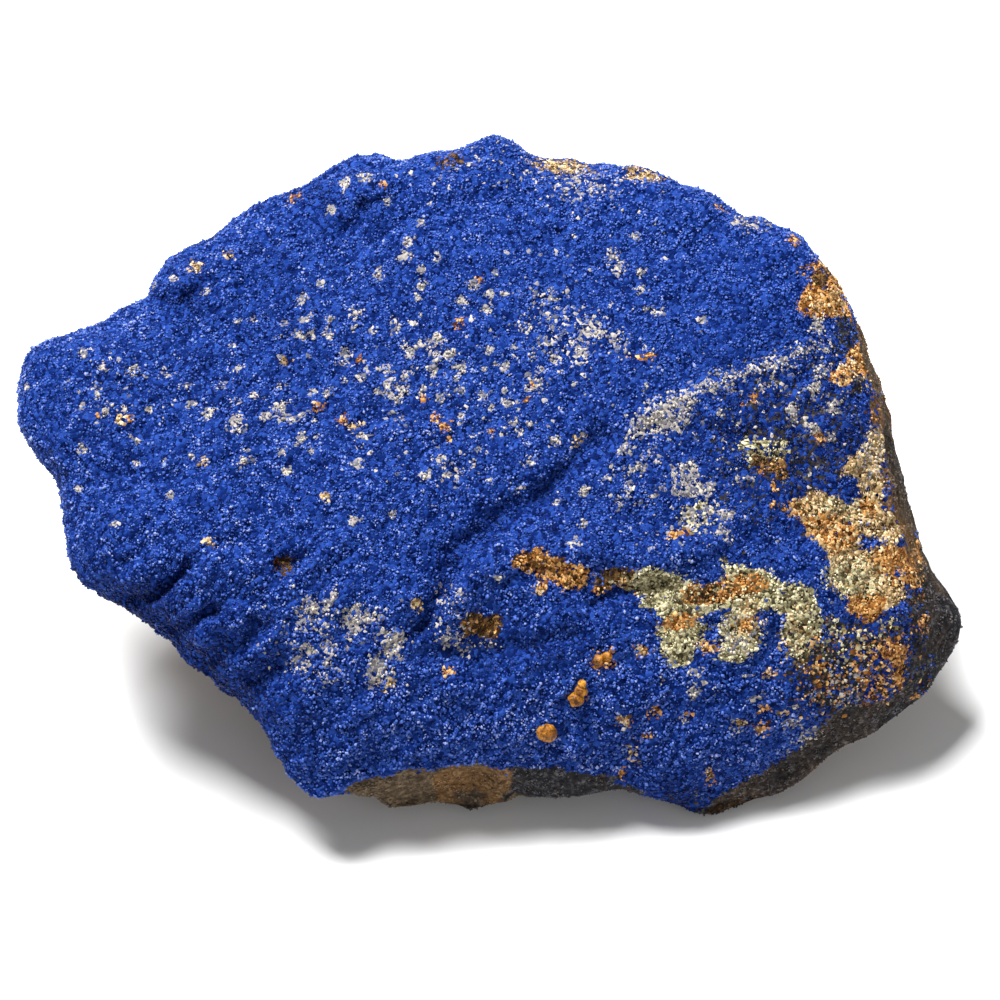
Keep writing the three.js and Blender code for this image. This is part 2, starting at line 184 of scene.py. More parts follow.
@dataclass
class StoneForm:
    """The stone's shape: outline, facets, lumps, grooves and broken side, in millimetres."""

    plane: FacePlane = field(default_factory=FacePlane)
    ring_centre: tuple[float, float] = (-3.0, 1.5)
    rim_crowding: float = 0.3
    face_rounding: tuple[float, float] = (7, 2.3)
    back_rounding: tuple[float, float] = (6, 2.2)
    face_blend: float = 0.7
    back_blend: float = 0.5
    rim_undercut: float = 1.0
    back_depth: float = 1.5
    mix_from: float = 0.85
    lip_thickness: float = 0.9
    lip_edge: float = 0.35
    lip_slope: float = 1.3
    # fmt: off
    outline: Path = pairs(
        -35.9, 6.1, -35.9, 7.2, -35.3, 9.5, -33.8, 10.6, -30.8, 11.2, -29.3, 11.6, -27.7, 12.8, -25.8, 13.8,
        -25.8, 14.8, -24.9, 16.7, -23.2, 17.6, -21.4, 18.4, -19.3, 20.2, -16.7, 21.3, -14.4, 22.5, -12.8, 23.6,
        -10, 24.8, -7.8, 24.5, -6.6, 24.3, -4.6, 25, -2.4, 25.2, -0.2, 25.8, 1.9, 25.5, 4.2, 24.5, 7.1, 24.3, 9,
        24.2, 11.4, 23.8, 13.1, 23.3, 15.4, 22.2, 17.3, 21.7, 18.6, 20.3, 20.9, 19.5, 23.6, 18.5, 25.1, 16.9,
        26.4, 14.8, 28, 11.7, 29.4, 8.9, 30.2, 5.7, 31, 1.9, 31.9, -2.4, 33.1, -5.7, 34.4, -8.1, 35.7, -10.3,
        35.9, -11.4, 34.7, -13.7, 33.4, -16, 31.2, -17.7, 28.3, -19.7, 25.5, -21.1, 22.6, -22.9, 19.9, -24.6,
        17.3, -25.7, 14.7, -25.6, 12.9, -24.2, 10.3, -23.4, 6.1, -23.9, 2.3, -24.3, -1.7, -25.2, -3.3, -24.5,
        -5.2, -24.5, -7.2, -25.2, -8.9, -24.2, -10.6, -23.6, -12.9, -24.4, -14.7, -23.4, -16.2, -21.3, -17.6,
        -18.6, -18.8, -16.5, -20.5, -15.8, -23, -14, -25.2, -12.1, -26.9, -10.3, -29, -9.1, -31, -8, -32.1,
        -6.1, -32.5, -3, -32.9, -0.5, -34.2, 1.6, -35.4, 3.8,
    )
    rim: Path = pairs(
        -170, -4.5, -145, -3.8, -120, -2.6, -95, -5.2, -75, -6.5, -55, -8, -40, -9.2, -22, -10.2, 0, -10.4, 25,
        -10.4, 50, -11.2, 70, -12, 90, -12.6, 110, -12, 135, -9.8, 160, -8, 180, -6.4,
    )
    # x, y, height there, slope along x, slope along y
    facets: tuple[tuple[float, ...], ...] = (
        (0, 0, 0, 0, -0.3), (11.4, 4.6, -1.38, -0.1, -0.06), (0, -12.2, 0.6, -0.12, 0.32),
        (12.5, -23.7, -4.4, -0.52, 1.3), (30, 3.8, -3.5, -1.96, -0.39), (-24, -10, 2.6, 0.5, 0.7),
    )
    # outward direction, distance from the middle of the face plane
    broken: tuple[tuple[float, ...], ...] = (
        (0, 0, -1, 26), (0.08, 0.97, -0.2, 25.5), (-0.72, 0.55, -0.42, 26),
        (0.7, 0.62, -0.36, 28.5), (-0.75, -0.15, -0.64, 27.5), (-0.45, -0.5, -0.74, 25),
        (0.05, -0.6, -0.8, 27.5), (0.82, 0.05, -0.57, 34),
    )
    # x, y, two radii, turn in degrees, height
    lumps: tuple[Blob, ...] = (
        (-9.5, 22.4, 2.9, 1.7, 0, 1), (-3, 23.4, 2.3, 1.4, 0, 0.7), (0.5, 23.4, 2.6, 1.5, 0, 0.8),
        (5.3, 21.7, 1.7, 1.2, 0, 0.5), (8.7, 21.3, 1.9, 1.5, 0, 0.5), (13.3, 20.1, 1.9, 1.7, 0, 0.5),
        (17.9, 17.9, 2.3, 1.8, 0, 0.5), (22.8, 17.1, 2.3, 1.9, 0, 0.7), (21.7, 13.8, 2, 1.5, 0, 0.4),
        (-23.9, 15.6, 1.8, 1.8, 0, 1.1), (-19.9, 16.3, 1.5, 1.2, 0, 0.5), (-17, 18.4, 1.8, 1.1, 25, 0.4),
        (-32.7, 8.2, 3.4, 2.1, 0, 0.4), (-28.7, 10.3, 1.7, 1.1, 0, 0.3), (-30.4, 3.8, 3, 2.6, 0, 0.4),
        (-28.7, -2.7, 3, 2.7, 0, 0.5), (-20.5, -1.7, 1.8, 1.4, 0, 0.5), (-6.5, 17.8, 1.4, 1.2, 0, 0.35),
        (-10.6, 18.8, 1.4, 2, 0, -0.35), (4.2, 18.1, 2.1, 1.1, 0, -0.3), (15.2, 18.2, 1.2, 1.1, 0, -0.25),
        (-25.8, 5.7, 0.7, 1.4, 0, -0.3), (-8.5, 1.4, 1.1, 0.5, 0, -0.25), (-15.2, -6.6, 1, 0.8, 0, -0.9),
        (15.2, -5.3, 2.7, 1.4, 0, 0.5), (19.2, -2.7, 2, 1.5, 0, 0.35), (25.2, -6.5, 2, 2.3, 0, 0.5),
        (27, 3.8, 1.5, 2.3, 0, 0.5), (-0.5, -11.2, 1.4, 0.9, 0, -0.8), (4.8, -6.8, 2.7, 1, -12, -0.35),
        (17, -10.8, 0.7, 1.2, 0, -0.5), (21.7, -11.2, 0.8, 1.5, 0, -0.5), (-2.7, -16, 3.6, 0.9, 0, 0.35),
        (11.4, -16, 1.8, 1.4, 0, 0.3), (18.6, -16, 1.5, 1.4, 0, 0.3), (15.2, -20.1, 1.7, 1.4, 0, 0.35),
        (23, -16.7, 2, 1.5, 0, 0.4), (-10.6, -18.4, 2.4, 1.2, 20, 0.3), (-14.4, -22, 1.8, 1.5, 0, 0.5),
        (5.3, -16, 2.3, 1.1, 0, 0.25), (7.6, -21.4, 2.3, 0.8, 0, 0.25), (-0.4, -20.1, 1, 0.6, 0, -0.35),
        (4.8, -20.4, 0.9, 0.5, 0, -0.3), (20.5, -17.1, 0.5, 1.1, 0, -0.35), (10, -22.2, 1.1, 0.6, 0, -0.35),
        (16, -23.6, 2.3, 1.1, 0, 0.5),
    )
    grooves: tuple[Groove, ...] = Groove.rows(
        # groove across the face, deeper in its lower half
        (0.8, 0.9, -0.75, 8.7, 3.4, 7.2, 1.9, 6, 0.7),
        (0.8, 1.2, -1.2, 4.8, -0.4, 3, -1.9, 0.2, -3.4, -1.7, -5.2, -3, -7.2, -4.1, -9.5, -4.9, -11.2),
        (0.6, 0.8, -0.6, -2.8, -7, -3.4, -8.2, -4.1, -9.5, -4.9, -11.2),
        # crack under the tongue
        (0.5, 0.5, -0.8, 7.8, -9.4, 9.5, -8.5, 11.4, -8.1, 13.1, -7.8),
        # crease round the top left lobe
        (0.7, 0.7, -0.9, -25.7, 13.7, -23.7, 13.1, -22.3, 14.4, -21.7, 16.1),
        # dents between the rim lumps
        (0.8, 0.8, -0.5, -13.1, 22, -12.2, 20.9, -10.8, 18.6),
        (0.6, 0.6, -0.4, -9.7, 20.9, -8, 21.1, -6.8, 22),
        # creases of the terrace
        (0.8, 0.8, -0.4, 16, 4.2, 18.6, 3, 20.5, 3.6),
        (0.7, 0.7, -0.5, 20.7, 2.3, 22.8, 0.8, 23.6, -1.5),
        # furrows at the lower left, from the edge inwards
        (1, 0.7, -1.8, -28.3, -9.4, -27, -9.1, -25.8, -8.7, -24.3, -8.1, -23.4, -6.9),
        (0.7, 0.6, -1.2, -24.2, -11.6, -23.3, -11.1, -22.3, -10.5, -21, -10),
        (0.9, 0.7, -1.2, -22.3, -14.3, -21.4, -13.7, -20.1, -12.9, -18.5, -12.2, -17.3, -11.4),
        (0.8, 0.8, -1.1, -19.8, -16, -18.7, -15.2, -17.3, -14.6, -16, -14),
        (0.7, 0.7, -0.35, -17.3, -16, -14.4, -13.7, -11, -11),
        # hollow under the ledge
        (0.8, 0.8, -0.6, -5.3, -13.1, -1.5, -12.8, 3, -12.6, 6.5, -11.6),
        # short crease of the main face
        (0.6, 0.6, -0.3, -11.4, 7.2, -10.5, 9.9),
        # tongue, steep on its lower side, where it ends in the ledge
        (1.4, 2.1, 1.1, 12.9, -6.2, 9.1, -5.9, 5.3, -5.5, 1.5, -6.1, -1.5, -7.6, -3.4, -10),
        # low ridge between the main face and the terrace
        (0.8, 0.8, 0.35, 11.4, 4.6, 16, 7, 19.4, 8.2, 22.8, 9.1, 25.8, 10.6),
        # ridges between the furrows at the lower left
        (0.9, 0.9, 0.5, -26.1, -10.3, -24.5, -9.1, -22, -7.4, -20.4, -6.1),
        (0.7, 0.7, 0.6, -23.7, -12.2, -22.3, -11.7, -20.8, -10.9, -19.3, -9.9),
        (0.7, 0.7, 0.4, -21, -14.7, -19.6, -14, -18.2, -13.2, -16.7, -12.2),
    )
    lip: Path = pairs(
        -10.9, -23.7, -9.5, -22.8, -6.5, -22, -2.7, -21.7, -1.1, -21.1, 0.8, -22.4, 4.2, -23.2, 8.4, -23, 11.4,
        -23.4,
    )
    # fmt: on
    # height, spacing and seed of the unevenness that the crust and the broken stone have
    crust_swell: tuple[tuple[float, float, int], ...] = ((0.3, 5.5, 1), (0.16, 2.4, 2))
    broken_swell: tuple[tuple[float, float, int], ...] = ((0.7, 8, 3), (0.3, 3.2, 4))
    crust_grit: tuple[tuple[float, float, int], ...] = ((0.14, 1.2, 6), (0.08, 0.6, 7))
    broken_grit: tuple[tuple[float, float, int], ...] = ((0.2, 1.5, 8), (0.1, 0.7, 9))
    # the broken stone's beds: reach along the face and thickness, then ridges in those steps
    bed_size: tuple[float, float] = (6.0, 1.8)
    bed_ridges: tuple[tuple[float, float, int], ...] = ((0.55, 1, 51), (0.25, 0.5, 52))
    # the crust's creases run across the face at this angle, far apart along and close across
    fold_turn: float = 38.0
    fold_spacings: tuple[tuple[float, float, float], ...] = ((0.6, 3.6, 1.6), (0.4, 1.8, 0.8))
    fold_base: float = 0.22
    # x, y, two radii, turn in degrees, more height of the folds there
    fold_zones: tuple[Blob, ...] = (
        (-22, -8, 9, 6, 0, 0.42), (-3, -20, 15, 4, 0, 0.2), (-28, 2, 6, 6, 0, 0.12), (-12, -8, 9, 7, 0, 0.12),
        (-21, 15, 5, 4, 0, 0.36), (-10, 20.5, 7, 3, 0, 0.34), (12, 19, 12, 3, -15, 0.14),
    )  # fmt: skip

    def point_at(self, angle: Array, out: Array | float) -> tuple[Array, Array]:
        """Point of the face plane in a direction, out being 1 on the outline.

        Args:
            angle: direction round the ring centre, in radians.
            out: share of the outline's reach in that direction.

        Returns:
            Its x and y.
        """
        xs, ys = np.array(self.outline).T
        cx, cy = self.ring_centre
        angles, reaches = np.arctan2(ys - cy, xs - cx), np.hypot(xs - cx, ys - cy)
        offsets = (-0.02, -0.01, 0, 0.01, 0.02)
        reach = out * sum(np.interp(angle + o, angles, reaches, period=2 * math.pi) for o in offsets) / 5
        return cx + reach * np.cos(angle), cy + reach * np.sin(angle)

    def rim_height(self, angle: Array) -> Array:
        """Height of the rim, which stays behind the face's edge.

        Args:
            angle: directions round the ring centre, in radians.

        Returns:
            Heights over the face plane, averaged over a small reach of the rim.
        """
        degrees, heights = np.array(self.rim).T
        table = np.linspace(-math.pi, math.pi, 1440, endpoint=False)
        atop = np.interp(table, np.radians(degrees), heights, period=2 * math.pi)
        atop = np.minimum(atop, self.face_height(*self.point_at(table, 1.0)) - self.rim_undercut)
        offsets = (-0.12, -0.08, -0.04, 0, 0.04, 0.08, 0.12)
        return sum(np.interp(angle + o, table, atop, period=2 * math.pi) for o in offsets) / 7

    def face_height(self, x: Array, y: Array) -> Array:
        """Height of the face: a soft minimum of the facets, plus lumps, grooves and the lip.

        Args:
            x, y: coordinates on the face plane.

        Returns:
            Height over the face plane.
        """
        total = sum(
            np.exp(-(h + sx * (x - ax) + sy * (y - ay)) / self.face_blend)
            for ax, ay, h, sx, sy in self.facets
        )
        height = -self.face_blend * np.log(total)
        for blob in self.lumps:
            height += blob[5] * np.exp(-blob_radius(x, y, blob))
        height += sum(groove.at(x, y) for groove in self.grooves)
        distance, below, within = self.below_lip(x, y)
        drop = self.lip_thickness * ramp(distance, 0, self.lip_edge) + self.lip_slope * distance
        return height - np.where(below, within * drop, 0)

    def folds(self, x: Array, y: Array) -> Array:
        """Height of the crust's folds: 2|noise| - 1 in stretched steps, so creases are sharp.

        Args:
            x, y: coordinates on the face plane.

        Returns:
            Height to add along the surface's own direction.
        """
        turn = math.radians(self.fold_turn)
        along, across = x * math.cos(turn) + y * math.sin(turn), y * math.cos(turn) - x * math.sin(turn)
        total = np.zeros_like(x)
        for seed, (weight, length, width) in enumerate(self.fold_spacings):
            point = np.stack([along / length, across / width, np.zeros_like(x)], axis=-1)
            total += weight * (2 * np.abs(unevenness(point, 1, 60 + seed)) - 0.6)
        height = self.fold_base + sum(blob[5] * np.exp(-blob_radius(x, y, blob)) for blob in self.fold_zones)
        return height * total

    def beds(self, points: Array) -> Array:
        """Positions in steps of the sandstone's beds, which lie along the face plane.

        Args:
            points: positions in millimetres.

        Returns:
            The positions in steps along the beds, twice, and across them.
        """
        sine, cosine = math.sin(self.plane.tilt), math.cos(self.plane.tilt)
        x, y, z = np.moveaxis(points, -1, 0)
        reach, thickness = self.bed_size
        return np.stack([x / reach, (y * sine + z * cosine) / reach, (z * sine - y * cosine) / thickness], -1)

    def broken_relief(self, points: Array) -> Array:
        """Unevenness of the broken stone: swells, grit, and ridges 2|noise| - 0.6 along the beds.

        Args:
            points: positions in millimetres.

        Returns:
            Height to add along the surface's own direction.
        """
        total = sum(h * unevenness(points, s, k) for h, s, k in (*self.broken_swell, *self.broken_grit))
        beds = self.beds(points)
        return total + sum(h * (2 * np.abs(unevenness(beds, s, k)) - 0.6) for h, s, k in self.bed_ridges)

    def below_lip(self, x: Array, y: Array) -> tuple[Array, Array, Array]:
        """Where points lie from the lip, under which the stone is bare.

        Args:
            x, y: coordinates on the face plane.

        Returns:
            The distance, whether the point is below, and 1 within the ends, fading to 0 past them.
        """
        distance, side = from_path(x, y, self.lip)
        first, last = self.lip[0][0], self.lip[-1][0]
        within = ramp(x, first - 1, first + 1) * (1 - ramp(x, last - 2, last))
        return distance, side < 0, within

    def back_height(self, x: Array, y: Array) -> Array:
        """Height of the broken side: a soft maximum of its facets, each met along the taper.

        Args:
            x, y: coordinates on the face plane.

        Returns:
            Height over the face plane.
        """
        sine, cosine = math.sin(self.plane.tilt), math.cos(self.plane.tilt)
        total = np.zeros(x.shape)
        for ox, oy, oz, reach in self.broken:
            sideways = x * ox + y * (sine * oy + cosine * oz)
            inwards = sine * oz - cosine * oy - sideways / self.plane.taper
            total += np.exp((reach - sideways) / inwards / self.back_blend)
        return self.back_blend * np.log(total)


def blob_radius(x: Array, y: Array, blob: Blob) -> Array:
    """Squared distance from a blob's middle, in its own turned radii.

    Args:
        x, y: coordinates on the face plane.
        blob: its middle, two radii, turn in degrees and height.

    Returns:
        Values that are 1 on its outline.
    """
    cx, cy, rx, ry, degrees, _ = blob
    cosine, sine = math.cos(math.radians(degrees)), math.sin(math.radians(degrees))
    u = ((x - cx) * cosine + (y - cy) * sine) / rx
    v = ((y - cy) * cosine - (x - cx) * sine) / ry
    return u * u + v * v


@dataclass(frozen=True)
class Round:
    """A soft round patch of one mineral on the face plane."""

    mineral: Mineral
    share: float
    x: float
    y: float
    wide: float
    high: float
    turn: float = 0.0

    @classmethod
    def rows(cls, *groups: tuple) -> tuple["Round", ...]:
        """Patches from groups: a mineral, then rows of share, x, y, both radii and a turn."""
        return tuple(cls(mineral, *row) for mineral, *rows in groups for row in rows)

    def cover(self, x: Array, y: Array) -> Array:
        """Share of the grains that it takes: share * exp(-r^4), r being 1 on its outline."""
        blob = (self.x, self.y, self.wide, self.high, self.turn, 0)
        return self.share * np.exp(-(blob_radius(x, y, blob) ** 2))


@dataclass(frozen=True)
class Patch:
    """A patch of one mineral with its own outline on the face plane."""

    mineral: Mineral
    share: float
    outline: Path
    edge: float = 0.12
    margin: float = 1.0

    @classmethod
    def rows(cls, *rows: tuple) -> tuple["Patch", ...]:
        """Patches from rows of a mineral, a share and the outline's coordinates."""
        return tuple(cls(mineral, share, pairs(*line)) for mineral, share, *line in rows)

    def cover(self, x: Array, y: Array) -> Array:
        """Share of the grains that it takes, fading over the edge's width.

        Args:
            x, y: coordinates on the face plane.

        Returns:
            The share at each point, 0 outside the outline.
        """
        xs, ys = np.array(self.outline).T
        near = (np.abs(x - (xs.min() + xs.max()) / 2) < np.ptp(xs) / 2 + self.margin) & (
            np.abs(y - (ys.min() + ys.max()) / 2) < np.ptp(ys) / 2 + self.margin
        )
        px, py = x[near], y[near]
        inside = np.zeros(px.shape, bool)
        for ax, ay, bx, by in zip(xs, ys, np.roll(xs, -1), np.roll(ys, -1)):
            if ay != by:
                inside ^= ((ay > py) != (by > py)) & (px < ax + (bx - ax) * (py - ay) / (by - ay))
        distance, _ = from_path(px, py, (*self.outline, self.outline[0]))
        result = np.zeros(x.shape)
        result[near] = self.share * ramp(np.where(inside, distance, -distance), -self.edge, self.edge)
        return result


@dataclass
class MineralMap:
    """Where on the face each mineral shows: traced patches, specks and a thin haze."""

    form: StoneForm
    warps: tuple[tuple[float, float], ...] = ((0.22, 1.3), (0.16, 0.45))
    speck_warp: tuple[float, float] = (0.09, 0.4)
    speck_share: float = 0.92
    speck_seed: int = 5
    speck_size: tuple[float, float] = (0.2, 0.42)
    ochre_among_specks: float = 0.1
    strewn_spread: float = 0.6
    # fmt: off
    # mineral and radius, then the middles' coordinates
    placed_specks: tuple[tuple, ...] = (
        (PALE, 0.3, -5.5, 13.9, -4, 16.9, 1.1, 14.2, -12.9, 15, -13.5, 11.1, -18, 12.3, -9, 11.4, -7.2, 12.3,
         -12.2, 12.3, -14.2, 12.2, -19.2, 8.6, -13.3, 6.8, -6.5, 8, -8.4, 8.5, 0, 0, -35.1, 7, -24.7, 8, -28.5,
         -3.4, -24.3, -1.1, 0.8, -7.6, 3, 4.2, 17.9, -2.7),
        (PALE, 0.38, -6.2, 18.2, -5.2, 16, -5.2, 14.8, 0, 14.3, -0.3, 13.1, -14.7, 11.1, -17.1, 4.9, -14.3, 3.3,
         -18.8, 1.4, -15.4, 0.8, -3.2, 9.5, -2.1, 8.5, -7.8, 7.4, -5.2, 6.6, -3.8, 6.3, -0.5, 6.5, 0, 10.1,
         -4.9, 0.3, -10.3, -3.1, -30, 7, -30.8, 9.7, 11.4, 14.4, 16.2, 12.2, 1.1, 8.7, 1.3, 5.9, 11.1, 18.6,
         4.9, 3, 7.2, -0.8, 7.1, -3.2, -3.4, -12.2, 17.6, -4, 22.8, 5.3, 26.2, 5.5),
        (PALE, 0.46, -1.3, 14.8, -14.3, 13.8, -10.2, 12.7, -16, 5.7, -10, 1.3, -6.1, 9.7, -4.4, 8.4, -3.6, 1.4,
         -27.1, 8.4, -11, 22.5, -9.5, 22.8, 9.3, 17.1, 24.7, 7),
        (PALE, 0.53, -6.5, 17),
        (PALE, 0.68, -19.2, 4.3),
        (SAND, 0.38, -19.9, 17.1, -21.8, 1.5, -15.6, 9.1, -12.6, -1.3, 19, -18.4, 20.5, -19.1, 21.3, -14.8,
         16.7, -22.4, 11.5, -13),
        (SAND, 0.46, -22.4, 16.3, -28.1, 4.6, -21.3, -4.8, -10.3, 4.2, 6.8, 3, -5.5, -9.5, 10.3, -18.2, 23.2,
         -1.9, 3.8, -8.4),
    )
    # x, y, two reaches, number of small specks strewn there
    strewn: tuple[Row, ...] = (
        (-1, 8.5, 8.5, 6.5, 62), (-14, 7.5, 9.5, 6.5, 52), (-28, 4, 5, 5, 18), (10, 0, 11, 7, 16),
        (19, -17, 8, 4, 16), (-8, 22, 6, 2, 8),
    )
    # thin haze and small patches under the traced ones
    rounds: tuple[Round, ...] = Round.rows(
        (PALE, (0.025, 5.3, 11.4, 7.2, 6.8), (0.025, -3.8, 4.6, 6.5, 5.7), (0.03, -27.4, 7.2, 4.6, 2.7),
        (0.07, -12.2, -12.2, 5.3, 3.8), (0.03, 19, 3.8, 8.4, 5.3), (0.05, 14.4, -1.5, 4.6, 4.6),
        (0.05, 7.6, 22, 4.6, 2.3)), (SLATE, (0.32, 23, 3, 6, 6)), (PALE, (0.5, -4.4, 10.5, 1.2, 0.5),
        (0.5, -2.8, 0.4, 0.9, 0.6), (0.7, 9.7, 16.1, 0.6, 0.5), (0.7, 12.5, 12.8, 0.6, 0.4),
        (0.55, 7.6, 11.4, 0.9, 0.8), (0.75, 6.7, 9.5, 0.6, 1), (0.45, 4.4, 14.1, 0.9, 0.6),
        (0.7, 2.8, 11.8, 0.6, 0.4), (0.45, 3.4, 7.2, 0.8, 0.5), (0.35, 9.5, 10.6, 0.9, 0.9),
        # the faint haze at -0.5, 23.8 along the top edge is partly pale dust and partly painted light on the
        # lit top rim
        (0.3, 7.2, 22.4, 2.6, 1.1), (0.07, -0.5, 23.8, 6, 1.8), (0.35, 19.4, 19.4, 1.2, 0.6)),
        (OCHRE, (0.6, 24.9, 15.8, 1.1, 0.8), (0.55, 29.6, 4.8, 0.8, 1.8)), (SAND, (0.9, 5.9, 24.1, 2.4, 0.75),
        (0.8, 11.9, 23.1, 1.6, 0.7)), (BROWN, (0.6, -2.8, 24.2, 1.3, 0.45)),
        (OCHRE, (0.7, 17.5, 20.9, 0.6, 0.4), (0.75, 23.3, 18, 0.8, 0.5), (0.7, -15, 21.5, 0.6, 0.5),
        (0.55, 11.8, 9.3, 1.4, 0.3), (0.6, 8.4, -13.7, 0.9, 0.8)),
    )
    # traced patches, each over those before it
    patches: tuple[Patch, ...] = Patch.rows(
        # warm stone under the lip
        (RUST, 0.9, -4.6, -22.5, -3.3, -21.9, -1.5, -21.7, 0.5, -21.9, 2.3, -22.4, 2, -23.6, 0.6, -24.1, -3,
         -24.1, -4.3, -23.8),
        # dark lip under it
        (SLATE, 0.3, -3.8, -24.4, -2.7, -23.9, -0.9, -23.7, 0.8, -23.9, 1.7, -24.3, 1.1, -24.9, -1.5, -25.2,
         -3.4, -25),
        # dark stone right of it
        (BARE, 0.95, 1.7, -22.1, 5.3, -22.2, 9.9, -22.8, 11.8, -23.7, 11.4, -24.3, 5.3, -24.6, 1.7, -24.5),
        (SLATE, 0.97, 1.7, -22.1, 5.3, -22.2, 9.9, -22.8, 11.8, -23.7, 11.4, -24.3, 5.3, -24.6, 1.7, -24.5),
        # dark side below the right half: painted shade, dark slate laid where the lower side stands in shadow
        (SLATE, 0.8, 16.4, -24.6, 19, -23.4, 23.6, -20.6, 27.4, -17.4, 31, -16.8, 33.8, -14.6, 35.6, -12, 36.6,
         -13.2, 33.4, -17.4, 27.6, -21.6, 20.6, -24.8, 16, -26.4),
        # clusters lower left
        (PALE, 0.6, -14.3, -9, -13.8, -8.6, -13.3, -8.8, -12.9, -9.7, -13.5, -10.3, -14.1, -10.8, -14.9, -11.6,
         -14.7, -10.7, -14.2, -10),
        (PALE, 0.6, -12.8, -9.1, -12.2, -8.9, -11.6, -8, -11.3, -8.5, -11.8, -9.4, -12.3, -10, -12.8, -9.9),
        (PALE, 0.75, -11.3, -10.1, -10.6, -9.9, -10, -9.6, -9.8, -10.3, -10, -11.4, -10.5, -11.7, -11, -11.2,
         -10.9, -10.6),
        (PALE, 0.75, -8.3, -11.2, -7.7, -11.7, -6.5, -11.7, -6.4, -12.3, -6.8, -12.9, -7.3, -13.6, -8, -13.5,
         -8.2, -13.1, -7.9, -12.4),
        (PALE, 0.65, -9.1, -13.4, -8.5, -13.3, -7.9, -14.6, -8.1, -15.2, -8.7, -15.8, -9.1, -15.8, -9, -15,
         -9.4, -14.2),
        (PALE, 0.62, 10.3, 3.2, 10.9, 4.3, 12.2, 4.9, 13.1, 5.5, 14.3, 6.2, 15.8, 6.1, 15.7, 5.2, 15, 4.9, 15,
         3.6, 13.8, 3.5, 12.2, 3.5, 10.8, 2.9),
        (PALE, 0.75, 10, 0.8, 10.6, 1.4, 12, 1.4, 11.7, 0.8, 10.7, 0.5),
        (PALE, 0.68, 13.6, 1.1, 14.4, 1.4, 15.5, 1.4, 16, 0.2, 17.2, -0.1, 17, -0.8, 15.6, -1.2, 13.8, -1.4,
         13.8, -0.8, 14.1, -0.2),
        (GREEN, 0.42, 14.5, -2.3, 16, -1.5, 17.2, -1.8, 17.2, -3, 16.3, -3.5, 15.4, -3.9, 14.4, -3.3),
        (PALE, 0.6, 22.6, 5.8, 23.3, 6.1, 23.6, 5.2, 23.4, 4.5, 22.8, 4.7),
        (PALE, 0.7, 23.6, 4.6, 24.5, 4.3, 25.2, 3.6, 26.4, 3.3, 25.8, 3, 24.8, 3, 24.2, 3.5),
        # tan rim
        (OCHRE, 0.75, 24.5, 15.5, 24.8, 16.6, 25.2, 16.9, 26.1, 15.8, 26.5, 14.7, 25.7, 14.9, 25.2, 16),
        # brown rim
        (BROWN, 0.9, 24.4, 15.4, 25, 15.9, 25.8, 15.8, 26.1, 15, 25.5, 14.8, 25.1, 14.4, 24.5, 14.8),
        # tan patch
        (OCHRE, 0.98, 23.6, 14.4, 24.5, 14.7, 25.1, 14.5, 25.7, 14.9, 26.4, 15, 26.9, 13.8, 27.7, 12.2, 27.1,
         12.2, 26.4, 12.7, 25.8, 12.5, 24.5, 12.6, 23.7, 12.6),
        # below it
        (PALE, 0.75, 24.5, 12.5, 25.6, 12.5, 25.4, 11.8, 25.2, 11.2, 24.4, 11.3, 24.6, 12),
        # slate rim
        (SLATE, 0.6, 26, 12.6, 26.8, 12.5, 27.8, 12, 28.4, 10.6, 27.7, 10.2, 27.4, 9.4, 26.3, 9.4, 26, 10.6,
         26.4, 11.6),
        (OCHRE, 0.95, 27.4, 9.8, 28, 10.4, 28.6, 10.3, 29.4, 8.2, 28.9, 7.8, 28.3, 8.4, 27.8, 7.8, 27.1, 7.1,
         26.3, 7.1, 25.8, 7.8, 26.4, 8.6, 27.3, 9.1),
        # pale beside
        (PALE, 0.5, 25.1, 9.1, 26, 9, 25.7, 8.2, 25.1, 7.6, 24.9, 6.1, 24.3, 6.2, 24.6, 7.9),
        # rim wall
        (RUST, 0.8, 28.7, 7.6, 29.6, 8.2, 30.4, 5.9, 31, 2.7, 31.8, -1.2, 33.1, -5.2, 34.5, -8.1, 33.4, -7.6,
         32.1, -5.5, 31, -3.8, 30.2, -2, 29.8, 0, 30.1, 2.3, 29.9, 3.8, 29, 4.3, 28.7, 6.1),
        # small green
        (GREEN, 0.75, 18.6, 3, 19.5, 3.3, 20.5, 3.1, 21.7, 3.3, 22.6, 3, 22.6, 1.7, 21.7, 1.2, 20.8, 1.5, 19.9,
         1.2, 19.2, 2.1),
        # its rusty foot
        (BROWN, 0.92, 19.6, 1.9, 20.8, 1.8, 21.6, 1.2, 21.3, 0.5, 20.4, 0.8),
        # rust
        (BROWN, 0.9, 21.4, 1.3, 22.3, 1.6, 22.7, 0.9, 22.4, 0.2, 21.8, 0, 21.4, 0.5),
        # big green, right
        (SAND, 0.98, 23.3, -1.5, 24.2, -0.8, 25.2, -0.7, 26.4, -1.5, 27.5, -1.7, 28.3, -1.1, 27.9, 0.2, 26.8,
         0.3, 26.6, 0.9, 27.5, 1.5, 28.2, 2.4, 28.6, 3.8, 29.3, 4.2, 30, 3.2, 29.8, 1.5, 29.7, -0.3, 30.1, -2,
         31.2, -3.8, 30.9, -4.9, 32.1, -5.8, 33.4, -7.4, 33.1, -8, 31.5, -8.2, 31.8, -8.8, 30.6, -9.7, 29,
         -10.3, 27.8, -9.9, 27.1, -9, 26.1, -8.4, 25.7, -7.6, 26, -6.1, 25.2, -5, 24, -4.2, 23.7, -2.9),
        # its ochre
        (OCHRE, 0.85, 28, -1.7, 28.6, -1.1, 29.5, -1.4, 29.9, -2.3, 29.3, -3, 28.4, -2.6),
        (OCHRE, 0.55, 24, -2.9, 25.8, -2.4, 27.4, -3, 28.3, -4, 27.4, -5.2, 26.3, -5.5, 25.1, -4.6, 24, -4.1),
